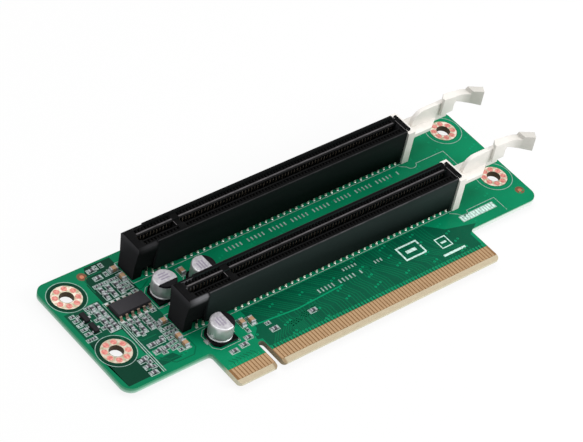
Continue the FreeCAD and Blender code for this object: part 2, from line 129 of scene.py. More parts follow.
# first place, count and pitch along X, count and pitch along Y, turn
RESISTOR_BLOCKS = [
    ((-23.4, 39.3), (3, 2.2), (2, 2.0), 90.0),
    ((-28.9, 30.2), (2, 1.6), (4, 2.5), 90.0),
    ((-24.3, 26.0), (3, 2.2), (2, 2.0), 90.0),
    ((-28.4, 13.4), (1, 1.0), (3, 2.2), 0.0),
    ((-23.4, 18.4), (2, 2.4), (2, 2.4), 0.0),
    ((-21.6, 45.4), (1, 1.0), (2, 2.8), 0.0),
    ((5.9, 10.0), (2, 12.2), (1, 1.0), 0.0),
    ((-1.5, 11.0), (1, 1.0), (1, 1.0), 0.0),
    ((-4.0, 9.6), (1, 1.0), (1, 1.0), 0.0),
    ((-7.4, 9.1), (1, 1.0), (1, 1.0), 0.0),
]
RESISTOR_PLACES = [(x0 + i * px, y0 + j * py, turn)
                   for (x0, y0), (nx, px), (ny, py), turn in RESISTOR_BLOCKS
                   for i in range(nx) for j in range(ny)]


def contact_columns():
    """X of every contact column, with a flag for those whose tails are in the outer row."""
    short = [(-FIRST_CONTACT - i * CONTACT_PITCH, i % 2 == 1) for i in range(SHORT_SIDE_CONTACTS)]
    long = [(FIRST_CONTACT + i * CONTACT_PITCH, i % 2 == 0) for i in range(LONG_SIDE_CONTACTS)]
    return short + long


def plated_radius(x):
    """Radius of the tinned ring at this end of the board."""
    return 3.95 if x < 0 else 3.7


def both_faces(sink, rise):
    """Heights of a layer sunk into the board and rising above it, on its top and underneath."""
    return (-sink, rise), (BOARD_BOTTOM - rise, BOARD_BOTTOM + sink)


# ---- Settings that a user would change ----

def screen(red, green, blue):
    """A colour given by its 0-255 screen values, as the linear values that Blender stores."""
    def channel(value):
        value /= 255
        return value / 12.92 if value <= 0.04045 else ((value + 0.055) / 1.055) ** 2.4
    return (channel(red), channel(green), channel(blue), 1.0)


def length(name, default, description):
    """A length setting, its default given in millimetres."""
    return FloatProperty(name=name, description=description, default=default / 1000, min=0.0,
                         precision=5, unit="LENGTH")


def colour(name, default, description):
    """A colour setting."""
    return FloatVectorProperty(name=name, description=description, default=default, size=4,
                               min=0.0, max=1.0, subtype="COLOR")


class CardSizes(bpy.types.PropertyGroup):
    """Sizes of the dressed details"""
    mould_edge: length("Moulding edge", 0.2, "Soft edge of the black mouldings")
    rim_edge: length("Rim edge", 0.24, "Soft edge along the outside of the slots' rims")
    clip_edge: length("Clip edge", 0.1, "Soft edge of the white clips, 0.1 mm at most")
    rib_thickness: length("Rib", 0.36, "Thickness of the ribs between contacts")
    lead_in: length("Lead-in", 0.22, "Width of the sloped lips of the card channel")
    contact_width: length("Contact width", 0.5, "Width of a spring contact")
    contact_thickness: length("Contact thickness", 0.28, "Thickness of a spring contact")
    joint_radius: length("Solder joint", 0.55, "Radius of a solder joint's foot")
    ink_width: length("Printed line", 0.16, "Width of the printed lines")
    ink_height: length("Ink height", 0.02, "Height of the print above the mask")
    trace_width: length("Trace", 0.3, "Width of the copper traces under the mask")
    can_groove: length("Can groove", 0.14, "Depth of the crimp round each can")
    via_radius: length("Via", 0.34, "Outer radius of a via's copper ring")
    via_count: IntProperty(name="Vias", description="Vias scattered over the copper areas",
                           default=170, min=0, max=600)


class CardColours(bpy.types.PropertyGroup):
    """Colours of the finishes"""
    mask_light: colour("Mask over copper", screen(0, 124, 84), "Solder mask over copper")
    mask_dark: colour("Mask over laminate", screen(0, 58, 40), "Solder mask over bare laminate")
    mask_lanes: colour("Mask over lanes", screen(0, 80, 56), "Solder mask between the traces")
    laminate: colour("Laminate", screen(214, 208, 182), "Cut edges of the glass-epoxy board")
    laminate_face: colour("Bare laminate", screen(134, 100, 66), "Laminate between the fingers")
    ink: colour("Print", screen(160, 184, 176), "White legend ink")
    gold: colour("Gold", screen(172, 140, 104), "Gold plating of the card edge")
    tin: colour("Tin", screen(230, 220, 202), "Tinned copper of the mounting rings")
    via_copper: colour("Via copper", screen(206, 114, 106), "Bare copper in the rings' vias")
    dot_copper: colour("Dot copper", screen(188, 114, 82), "Plated copper of the alignment dots")
    contact: colour("Contact", screen(222, 218, 200), "Plated spring contacts")
    solder: colour("Solder", screen(196, 200, 198), "Solder joints and plated leads")
    dull_solder: colour("Dull solder", screen(168, 172, 174), "Solder and end caps of small parts")
    lead: colour("Lead", screen(132, 114, 98), "Formed leads of the chip")
    black_moulding: colour("Slot housing", screen(12, 12, 13), "Black polyester mouldings")
    white_moulding: colour("Clip", screen(230, 226, 220), "White clip mouldings")
    can: colour("Can", screen(206, 206, 208), "Aluminium capacitor cans")
    can_top: colour("Can top", screen(180, 177, 182), "Coated ends of the cans")
    epoxy: colour("Epoxy", screen(36, 34, 38), "Moulded chip packages")
    ceramic: colour("Ceramic", screen(176, 140, 108), "Fired ceramic capacitor bodies")
    resistor: colour("Resistor", screen(62, 58, 66), "Glazed face of the chip resistors")


def size(name):
    """One of the sizes in the settings, in millimetres."""
    return 1000 * getattr(bpy.context.scene.card_sizes, name)


def shade(tint, factor):
    """A colour made lighter or darker."""
    return tuple(min(1.0, v * factor) for v in tint[:3]) + (1.0,)


def chosen(name, factor=1.0):
    """One of the colours in the settings, made lighter or darker."""
    return shade(getattr(bpy.context.scene.card_colours, name), factor)


# ---- Materials ----

WHITE = (1.0, 1.0, 1.0, 1.0)


class Value:
    """A shader socket that can be used in sums."""

    def __init__(self, nodes, socket):
        self.nodes = nodes
        self.socket = socket

    def maths(self, operation, first, second=0.0):
        """One Math node on one or two values."""
        return self.nodes.value(0, "ShaderNodeMath", {"operation": operation},
                                {0: first, 1: second})

    def __add__(self, other):
        return self.maths("ADD", self, other)

    def __radd__(self, other):
        return self.maths("ADD", other, self)

    def __sub__(self, other):
        return self.maths("SUBTRACT", self, other)

    def __rsub__(self, other):
        return self.maths("SUBTRACT", other, self)

    def __mul__(self, other):
        return self.maths("MULTIPLY", self, other)

    def __rmul__(self, other):
        return self.maths("MULTIPLY", other, self)

    def __abs__(self):
        return self.maths("ABSOLUTE", self)

    def waves(self):
        """The sine of this value."""
        return self.maths("SINE", self)

    def or_more(self, other):
        """The larger of two values."""
        return self.maths("MAXIMUM", self, other)

    def rises(self, low, high):
        """0 below low, 1 above high and smooth between."""
        return self.nodes.value("Result", "ShaderNodeMapRange",
                                {"interpolation_type": "SMOOTHSTEP"},
                                {"Value": self, "From Min": low, "From Max": high})

    def falls(self, low, high):
        """1 below low, 0 above high and smooth between."""
        return 1 - self.rises(low, high)


class Nodes:
    """The node tree of a material or a world, filled by one method."""

    def __init__(self, owner):
        owner.use_nodes = True
        self.tree = owner.node_tree
        self.tree.nodes.clear()

    def node(self, kind, settings=None, inputs=None):
        """A node of this type: its settings first, then the values or links of its sockets."""
        made = self.tree.nodes.new(kind)
        for key, value in (settings or {}).items():
            setattr(made, key, value)
        for key, value in (inputs or {}).items():
            self.feed(made.inputs[key], value)
        return made

    def value(self, output, kind, settings=None, inputs=None):
        """One output of a new node."""
        return Value(self, self.node(kind, settings, inputs).outputs[output])

    def feed(self, socket, value):
        """Links a value to a socket, or sets it."""
        if isinstance(value, Value):
            self.tree.links.new(value.socket, socket)
        else:
            socket.default_value = value

    def seen_directly(self):
        """1 for camera, glossy and transmission rays."""
        path = self.node("ShaderNodeLightPath")
        camera, glossy, through = [Value(self, path.outputs[f"Is {kind} Ray"])
                                   for kind in ("Camera", "Glossy", "Transmission")]
        return camera.or_more(glossy).or_more(through)


class Finish(Nodes):
    """One material, built from values on its surface."""

    def __init__(self, name, **constants):
        self.material = bpy.data.materials.new(name)
        super().__init__(self.material)
        self.shader = self.node("ShaderNodeBsdfPrincipled")
        shaded = Value(self, self.shader.outputs["BSDF"])
        self.node("ShaderNodeOutputMaterial", None, {"Surface": shaded})
        self.surface(**constants)

    def surface(self, **values):
        """Feeds the shader's sockets."""
        for key, value in values.items():
            self.feed(self.shader.inputs[key.replace("_", " ")], value)

    def place(self):
        """Position on the object in millimetres."""
        where = self.value("Object", "ShaderNodeTexCoord")
        return self.value("Vector", "ShaderNodeVectorMath", {"operation": "SCALE"},
                          {0: where, "Scale": 1000.0})

    def facing(self):
        """The surface's normal."""
        return self.value("Normal", "ShaderNodeNewGeometry")

    def split(self, vector):
        """The three parts of a vector."""
        node = self.node("ShaderNodeSeparateXYZ", None, {0: vector})
        return [Value(self, output) for output in node.outputs]

    def stretch(self, vector, x, y, z):
        """A vector scaled by a different amount on each axis."""
        return self.value("Vector", "ShaderNodeVectorMath", {"operation": "MULTIPLY"},
                          {0: vector, 1: (x, y, z)})

    def noise(self, where, scale, detail=2.0):
        """Soft noise between 0 and 1, its scale in waves a millimetre."""
        return self.value("Fac", "ShaderNodeTexNoise", {"noise_dimensions": "3D"},
                          {"Vector": where, "Scale": scale, "Detail": detail})

    def cells(self, where, scale):
        """Distance to the nearest of some scattered points."""
        return self.value("Distance", "ShaderNodeTexVoronoi", {"feature": "F1"},
                          {"Vector": where, "Scale": scale})

    def mix(self, share, first, second):
        """A colour between two colours."""
        return self.value(2, "ShaderNodeMix", {"data_type": "RGBA"},
                          {0: share, 6: first, 7: second})

    def bump(self, height, strength, distance=0.00005):
        """A normal from a height."""
        return self.value("Normal", "ShaderNodeBump", None,
                          {"Height": height, "Strength": strength, "Distance": distance})


def solder_mask(name, setting, factor, depth):
    """Glossy mask on the faces; the cut edges, the bevel and the strip of fingers differ."""
    mask = Finish(name, Specular_IOR_Level=0.06, Coat_Roughness=0.3)
    tint = chosen(setting, factor)
    place = mask.place()
    x, y, z = mask.split(place)
    level = abs(mask.split(mask.facing())[2])
    mottle = mask.noise(place, 0.09, 3.0)
    fine = mask.noise(place, 2.2)
    green = mask.mix(mottle.rises(0.3, 0.7), shade(tint, 1.0 - depth), shade(tint, 1.0 + depth))
    green = mask.mix(fine * 0.18, green, shade(tint, 0.7))
    # Painted shade: the mask gets darker towards the left end of the board.
    green = mask.mix(x.falls(-34.0, -8.0) * 0.6, green, shade(tint, 0.66))
    weave = (x * 9.0).waves() * (y * 9.0).waves()
    bare = mask.mix(fine, chosen("laminate_face", 0.85), chosen("laminate_face", 1.15))
    fibres = mask.noise(mask.stretch(place, 0.4, 0.4, 3.0), 1.6, 3.0)
    cut = mask.mix(fibres, chosen("laminate", 0.8), chosen("laminate", 1.08))
    # Side faces of the board: green at the top, paling towards the bottom as a painted reflection
    # of the white floor; near white along the top on the right, a painted highlight.
    edge = mask.mix(z.falls(BOARD_BOTTOM, -0.3), screen(26, 146, 108), screen(176, 214, 198))
    edge = mask.mix(x.rises(50.0, 74.0) * z.falls(-0.6, 0.0) * 0.8, edge, screen(236, 242, 239))
    in_notch = abs(x).falls(1.6, 2.2) * y.falls(10.0, 10.6)
    notch_wall = mask.mix(y.rises(5.0, 7.6), screen(128, 108, 78), screen(22, 62, 46))
    cut = mask.mix(in_notch * 0.7, cut, notch_wall)
    # Laminate near the tip; further back, the green side colour with its painted light.
    side_faces_painted_light = mask.mix(y.rises(4.4, 7.4) * (0.9 - in_notch * 0.9), cut, edge)
    in_strip = y.falls(FINGER_TOP + 0.08, FINGER_TOP + 0.16)
    flat = level.rises(0.9, 0.99)
    skin = mask.mix(in_strip, green, bare)
    mask.surface(Base_Color=mask.mix(flat, side_faces_painted_light, skin),
                 Roughness=0.55 - flat * (0.14 - in_strip * 0.12) + fine * 0.1,
                 Coat_Weight=flat * (0.03 - in_strip * 0.03),
                 Normal=mask.bump(weave * 0.4 + fine, 0.12))
    return mask.material


mask_over_copper = partial(solder_mask, "solder_mask", "mask_light", 1.0, 0.1)
mask_over_laminate = partial(solder_mask, "solder_mask_dark", "mask_dark", 1.0, 0.16)
mask_over_lanes = partial(solder_mask, "solder_mask_lanes", "mask_lanes", 1.0, 0.12)
mask_over_trace = partial(solder_mask, "solder_mask_trace", "mask_light", 0.62, 0.06)
mask_over_via = partial(solder_mask, "solder_mask_via", "mask_light", 1.3, 0.06)


def bare_laminate():
    """Unmasked glass-epoxy round the alignment dots."""
    bare = Finish("bare_laminate", Specular_IOR_Level=0.3)
    place = bare.place()
    x, y, _ = bare.split(place)
    weave = (x * 11.0).waves() * (y * 11.0).waves()
    grain = bare.noise(place, 3.0, 3.0)
    bare.surface(Base_Color=bare.mix(grain, screen(84, 62, 38), screen(128, 80, 50)),
                 Roughness=0.5 + grain * 0.2, Normal=bare.bump(weave + grain, 0.3))
    return bare.material


def legend_ink(name, factor):
    """Screened legend ink, a little worn through."""
    ink = Finish(name, Specular_IOR_Level=0.3)
    tint = chosen("ink", factor)
    place = ink.place()
    worn = ink.noise(place, 1.4, 3.0).rises(0.34, 0.6)
    ink.surface(Base_Color=ink.mix(worn, shade(tint, 0.62), tint), Roughness=0.5 + worn * 0.15,
                Normal=ink.bump(ink.noise(place, 6.0), 0.2))
    return ink.material


printed_ink = partial(legend_ink, "legend_ink", 1.0)
solid_ink = partial(legend_ink, "solid_ink", 1.75)


def gold_plating():
    """Gold over nickel on the card edge, with insertion wear along Y."""
    gold = Finish("gold_plating", Specular_IOR_Level=0.5)
    place = gold.place()
    scuffs = gold.noise(gold.stretch(place, 6.0, 0.35, 6.0), 1.0, 3.0)
    worn = scuffs.rises(0.45, 0.75) * gold.split(place)[1].falls(2.6, 4.2)
    gold.surface(Base_Color=gold.mix(worn, chosen("gold"), chosen("gold", 0.78)), Metallic=0.4,
                 Roughness=0.46 + scuffs * 0.2, Normal=gold.bump(scuffs, 0.25))
    return gold.material


def tinned_ring():
    """Levelled solder on the mounting rings, uneven and bright."""
    tin = Finish("tinned_copper")
    place = tin.place()
    x, y, _ = tin.split(place)
    lumps = tin.noise(place, 0.9, 3.0)
    tone = tin.mix(lumps.rises(0.38, 0.62), screen(172, 166, 134), chosen("tin"))
    tone = tin.mix(tin.noise(place, 1.5).rises(0.5, 0.7) * 0.45, tone, screen(226, 158, 144))
    tone = tin.mix(x.falls(-10.0, 10.0) * y.falls(28.0, 38.0) * 0.4, tone, screen(150, 138, 118))
    tin.surface(Base_Color=tone, Metallic=0.25, Roughness=0.38 + lumps * 0.2,
                Normal=tin.bump(lumps, 0.5, 0.00015))
    return tin.material


def via_copper():
    """Bare copper with a dull bloom."""
    copper = Finish("via_copper")
    bloom = copper.noise(copper.place(), 1.7, 3.0)
    patchy = copper.mix(bloom.rises(0.35, 0.75), chosen("via_copper", 0.86), screen(226, 158, 144))
    copper.surface(Base_Color=patchy, Metallic=0.3, Roughness=0.4 + bloom * 0.2,
                   Normal=copper.bump(bloom, 0.3))
    return copper.material


def shaded_barrel():
    """The plated wall of a hole; its dark brown is painted shade inside the hole."""
    barrel = Finish("hole_barrel")
    streaks = barrel.noise(barrel.stretch(barrel.place(), 3.0, 3.0, 0.4), 1.0, 3.0)
    barrel.surface(Base_Color=barrel.mix(streaks, screen(46, 34, 22), screen(92, 76, 52)),
                   Metallic=0.4, Roughness=0.55 + streaks * 0.2)
    return barrel.material


def plated_metal(name, setting, metallic, rough):
    """Bright plating with slight unevenness."""
    plate = Finish(name)
    place = plate.place()
    drift = plate.noise(place, 1.3, 3.0).rises(0.3, 0.7)
    grain = plate.noise(plate.stretch(place, 1.0, 1.0, 6.0), 4.0)
    plate.surface(Base_Color=plate.mix(drift, chosen(setting, 0.84), chosen(setting, 1.05)),
                  Metallic=metallic, Roughness=rough + grain * 0.16,
                  Normal=plate.bump(grain, 0.15))
    return plate.material


contact_metal = partial(plated_metal, "contact_metal", "contact", 0.55, 0.3)
solder_metal = partial(plated_metal, "solder", "solder", 0.7, 0.26)
dull_solder = partial(plated_metal, "dull_solder", "dull_solder", 0.3, 0.44)
lead_metal = partial(plated_metal, "lead_metal", "lead", 0.5, 0.42)
dot_plating = partial(plated_metal, "dot_plating", "dot_copper", 0.3, 0.4)


def spring_metal():
    """The bare springs in the slots: dim brown, painted shade inside the housing over the contact
    plating, and painted darker still towards their feet.
    """
    spring = Finish("spring_metal")
    place = spring.place()
    # Painted shade deep in the housing, near black at the feet.
    painted_feet_shade = spring.split(place)[2].falls(3.0, 5.5)
    drift = spring.noise(place, 1.3, 3.0)
    tone = spring.mix(drift.rises(0.3, 0.7), screen(84, 77, 66), screen(116, 107, 94))
    spring.surface(Base_Color=spring.mix(painted_feet_shade, tone, screen(16, 16, 15)), Metallic=0.6,
                   Roughness=0.42 + drift * 0.12, Normal=spring.bump(drift, 0.15))
    return spring.material


def polyester(name, factor):
    """Glass-filled polyester, nearly black and finely grained; front and left walls painted paler
    as reflected light, a painted highlight on the end block's front corner, and painted shade on
    top faces past the block.
    """
    black = Finish(name, Specular_IOR_Level=0.03)
    tint = chosen("black_moulding", factor)
    place = black.place()
    x, y, z = black.split(place)
    normal = black.split(black.facing())
    fronting = (0.0 - normal[1]).rises(0.6, 0.95)
    leftward = (0.0 - normal[0]).rises(0.6, 0.95)
    upward = normal[2].rises(0.9, 0.99)
    in_front = y.falls(BETWEEN_SLOTS - 2.0, BETWEEN_SLOTS + 2.0)
    low = z.falls(3.0, 11.0)
    # Painted light on front-facing walls, greenish as the board's reflection: most on the front
    # slot, more low down on the back slot, brighter to the right and faint on the end block.
    painted_front_light = fronting * (0.2 + low * 0.16 + in_front * (0.72 - low * 0.16))
    painted_front_light = painted_front_light * (0.85 + x.rises(50.0, 76.0) * 0.5)
    painted_front_light = painted_front_light * (0.1 + x.rises(BLOCK_END - 0.3, BLOCK_END + 0.6) * 0.9)
    # Painted highlight on the front of the end block near its top, strongest on the front slot.
    painted_block_highlight = (0.0 - normal[1]).rises(0.1, 0.6) * x.rises(HOUSING_START - 1.0, BLOCK_END - 2.6)
    painted_block_highlight = painted_block_highlight * x.falls(BLOCK_END - 0.8, BLOCK_END) * z.rises(RIM - 2.9, RIM - 1.1)
    painted_block_highlight = painted_block_highlight * (0.14 + in_front * 0.76)
    # Left-facing faces painted paler, more near the top: painted light.
    above = leftward * (0.3 + z.rises(8.5, RIM) * 0.4)
    flow = black.noise(black.stretch(place, 0.12, 0.5, 0.5), 1.0, 3.0)
    grain = black.noise(place, 7.0)
    tone = black.mix(flow.rises(0.3, 0.75), shade(tint, 0.75), shade(tint, 1.25))
    tone = black.mix(black.cells(place, 1.1).falls(0.04, 0.1) * 0.15, tone, screen(60, 62, 62))
    # The painted light mixed in, weaker in the darker copy.
    tone = black.mix(painted_front_light * factor, tone, screen(38, 47, 46))
    tone = black.mix(above * factor, tone, screen(66, 66, 69))
    tone = black.mix(painted_block_highlight * factor, tone, screen(108, 108, 111))
    shadowed = upward * x.rises(BLOCK_END - 1.0, BLOCK_END + 1.0) * 0.55
    black.surface(Base_Color=black.mix(shadowed, tone, screen(4, 4, 4)),
                  Roughness=0.4 + grain * 0.14 + flow * 0.06,
                  Normal=black.bump(grain, 0.22, 0.00004))
    return black.material


black_moulding = partial(polyester, "black_moulding", 1.0)
# A darker copy of the moulding for the ribs inside the slot: painted shade.
comb_moulding = partial(polyester, "comb_moulding", 0.55)


def highlighted_polyester(name, gloss, dull, pale):
    """Black moulding with a painted highlight on the up-facing tops of the lips; other faces stay
    black.
    """
    lip_finish = Finish(name, Specular_IOR_Level=gloss)
    streaks = lip_finish.noise(lip_finish.stretch(lip_finish.place(), 0.5, 3.0, 3.0), 1.0, 3.0)
    level = lip_finish.split(lip_finish.facing())[2].rises(0.8, 0.95)
    # The streaky pale colour is the painted highlight.
    worn = lip_finish.mix(streaks.rises(0.25, 0.7), dull, pale)
    lip_finish.surface(Base_Color=lip_finish.mix(level, screen(12, 12, 12), worn),
                   Roughness=0.35 + streaks * 0.2)
    return lip_finish.material


# The pale finish is a painted highlight on the back lips, the key and the channel's end; front_lip
# is the same finish in near black, so the front lips show no highlight.
rubbed_edge = partial(highlighted_polyester, "rubbed_edge", 0.25, screen(54, 52, 53), screen(88, 84, 86))
front_lip = partial(highlighted_polyester, "front_lip", 0.03, screen(6, 6, 6), screen(14, 14, 15))


def polished_edge():
    """Painted highlight on the rounded outer edge of the moulding, strongest on the front slot and
    on faces turned to the front.
    """
    edge = Finish("polished_edge", Specular_IOR_Level=0.12)
    place = edge.place()
    in_front = edge.split(place)[1].falls(BETWEEN_SLOTS - 2.0, BETWEEN_SLOTS + 2.0)
    outward = (0.0 - edge.split(edge.facing())[1]).rises(0.0, 0.3)
    # Noise that varies the painted highlight's tone.
    wear = edge.noise(edge.stretch(place, 0.3, 1.0, 1.0), 1.0, 3.0)
    tone = edge.mix(wear.rises(0.3, 0.7), screen(50, 50, 52), screen(70, 70, 72))
    tone = edge.mix(in_front * 0.7 + 0.3, screen(12, 12, 13), tone)
    edge.surface(Base_Color=edge.mix(outward, screen(18, 18, 19), tone),
                 Roughness=0.45 + wear * 0.15)
    return edge.material


def white_moulding():
    """Nylon, a soft white with faint flow marks, painted greyer towards the paddle as shade."""
    white = Finish("white_moulding", Specular_IOR_Level=0.4)
    place = white.place()
    flow = white.noise(white.stretch(place, 0.1, 0.4, 0.4), 1.0, 3.0)
    grain = white.noise(place, 5.0)
    tint = chosen("white_moulding")
    clean = white.mix(flow.rises(0.3, 0.7), shade(tint, 0.95), tint)
    # Painted shade on the paddle end.
    painted_paddle_shade = white.split(place)[0].rises(91.0, 98.0) * 0.5
    white.surface(Base_Color=white.mix(painted_paddle_shade, clean, screen(166, 164, 156)),
                  Roughness=0.36 + grain * 0.12 + flow * 0.08,
                  Normal=white.bump(grain + flow, 0.12))
    return white.material


def can_aluminium():
    """Drawn aluminium with fine turning lines round the can."""
    can = Finish("can_aluminium")
    place = can.place()
    rings = can.noise(can.stretch(place, 0.2, 0.2, 8.0), 1.0)
    cloud = can.noise(place, 0.8, 3.0)
    can.surface(Base_Color=can.mix(cloud.rises(0.3, 0.7), chosen("can", 0.88), chosen("can")),
                Metallic=0.6, Roughness=0.28 + rings * 0.18 + cloud * 0.06,
                Normal=can.bump(rings, 0.2))
    return can.material


def can_top():
    """The coated end of a can."""
    top = Finish("can_top")
    cloud = top.noise(top.place(), 1.1, 3.0)
    tone = top.mix(cloud.rises(0.3, 0.7), chosen("can_top", 0.8), chosen("can_top", 1.1))
    top.surface(Base_Color=tone, Metallic=0.3, Roughness=0.4 + cloud * 0.15,
                Normal=top.bump(cloud, 0.15))
    return top.material


def speckled_ink(name, gloss, scale, dark, pale):
    """Print on a package."""
    ink = Finish(name, Specular_IOR_Level=gloss)
    speck = ink.noise(ink.place(), scale)
    ink.surface(Base_Color=ink.mix(speck, dark, pale), Roughness=0.45 + speck * 0.2)
    return ink.material


marking_ink = partial(speckled_ink, "marking_ink", 0.08, 5.0, screen(6, 6, 8), screen(22, 20, 24))
grey_ink = partial(speckled_ink, "grey_ink", 0.3, 4.0, screen(132, 124, 140), screen(158, 150, 166))


def moulded_epoxy(name, factor, gloss):
    """Moulded epoxy: dark grey, fine matt grain."""
    epoxy = Finish(name, Specular_IOR_Level=gloss)
    tint = chosen("epoxy", factor)
    place = epoxy.place()
    grain = epoxy.noise(place, 6.0, 3.0)
    cloudy = grain * 0.5 + epoxy.noise(place, 0.5) * 0.5
    epoxy.surface(Base_Color=epoxy.mix(cloudy, shade(tint, 0.7), shade(tint, 1.3)),
                  Roughness=0.6 + grain * 0.15, Normal=epoxy.bump(grain, 0.35))
    return epoxy.material


epoxy_body = partial(moulded_epoxy, "epoxy_body", 1.0, 0.3)
transistor_epoxy = partial(moulded_epoxy, "transistor_epoxy", 0.5, 0.15)


def ceramic_body():
    """Fired tan ceramic."""
    clay = Finish("ceramic_body", Specular_IOR_Level=0.4)
    grain = clay.noise(clay.place(), 3.0, 3.0)
    clay.surface(Base_Color=clay.mix(grain, chosen("ceramic", 0.8), chosen("ceramic", 1.15)),
                 Roughness=0.4 + grain * 0.2, Normal=clay.bump(grain, 0.2))
    return clay.material


def resistor_glaze():
    """The dark glaze of a chip resistor."""
    glaze = Finish("resistor_glaze", Specular_IOR_Level=0.4)
    grain = glaze.noise(glaze.place(), 3.6)
    glaze.surface(Base_Color=glaze.mix(grain, chosen("resistor", 0.7), chosen("resistor", 1.4)),
                  Roughness=0.3 + grain * 0.15)
    return glaze.material


FINISHES = {}


def finish(maker):
    """The material that a maker gives, made once."""
    if maker not in FINISHES:
        FINISHES[maker] = maker()
    return FINISHES[maker]


def dress(node, maker):
    """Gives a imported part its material."""
    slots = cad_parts[node].material_slots
    for slot in slots:
        slot.material = finish(maker)
    if not slots:
        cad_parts[node].data.materials.append(finish(maker))


# ---- Shapes ----

def circle(x, y, radius, sides, start=0.0):
    """Points of a circle."""
    angles = [start + 2 * math.pi * i / sides for i in range(sides)]
    return [(x + radius * math.cos(a), y + radius * math.sin(a)) for a in angles]


def turned(point, x, y, angle):
    """A point that was given about the origin, turned by degrees and moved to (x, y)."""
    c, s = math.cos(math.radians(angle)), math.sin(math.radians(angle))
    px, py = point[0], point[1]
    return (x + px * c - py * s, y + px * s + py * c) + tuple(point[2:])


def rectangle(x_range, y_range):
    """The corners of a rectangle between two values of x and of y."""
    (x0, x1), (y0, y1) = x_range, y_range
    return [(x0, y0), (x1, y0), (x1, y1), (x0, y1)]


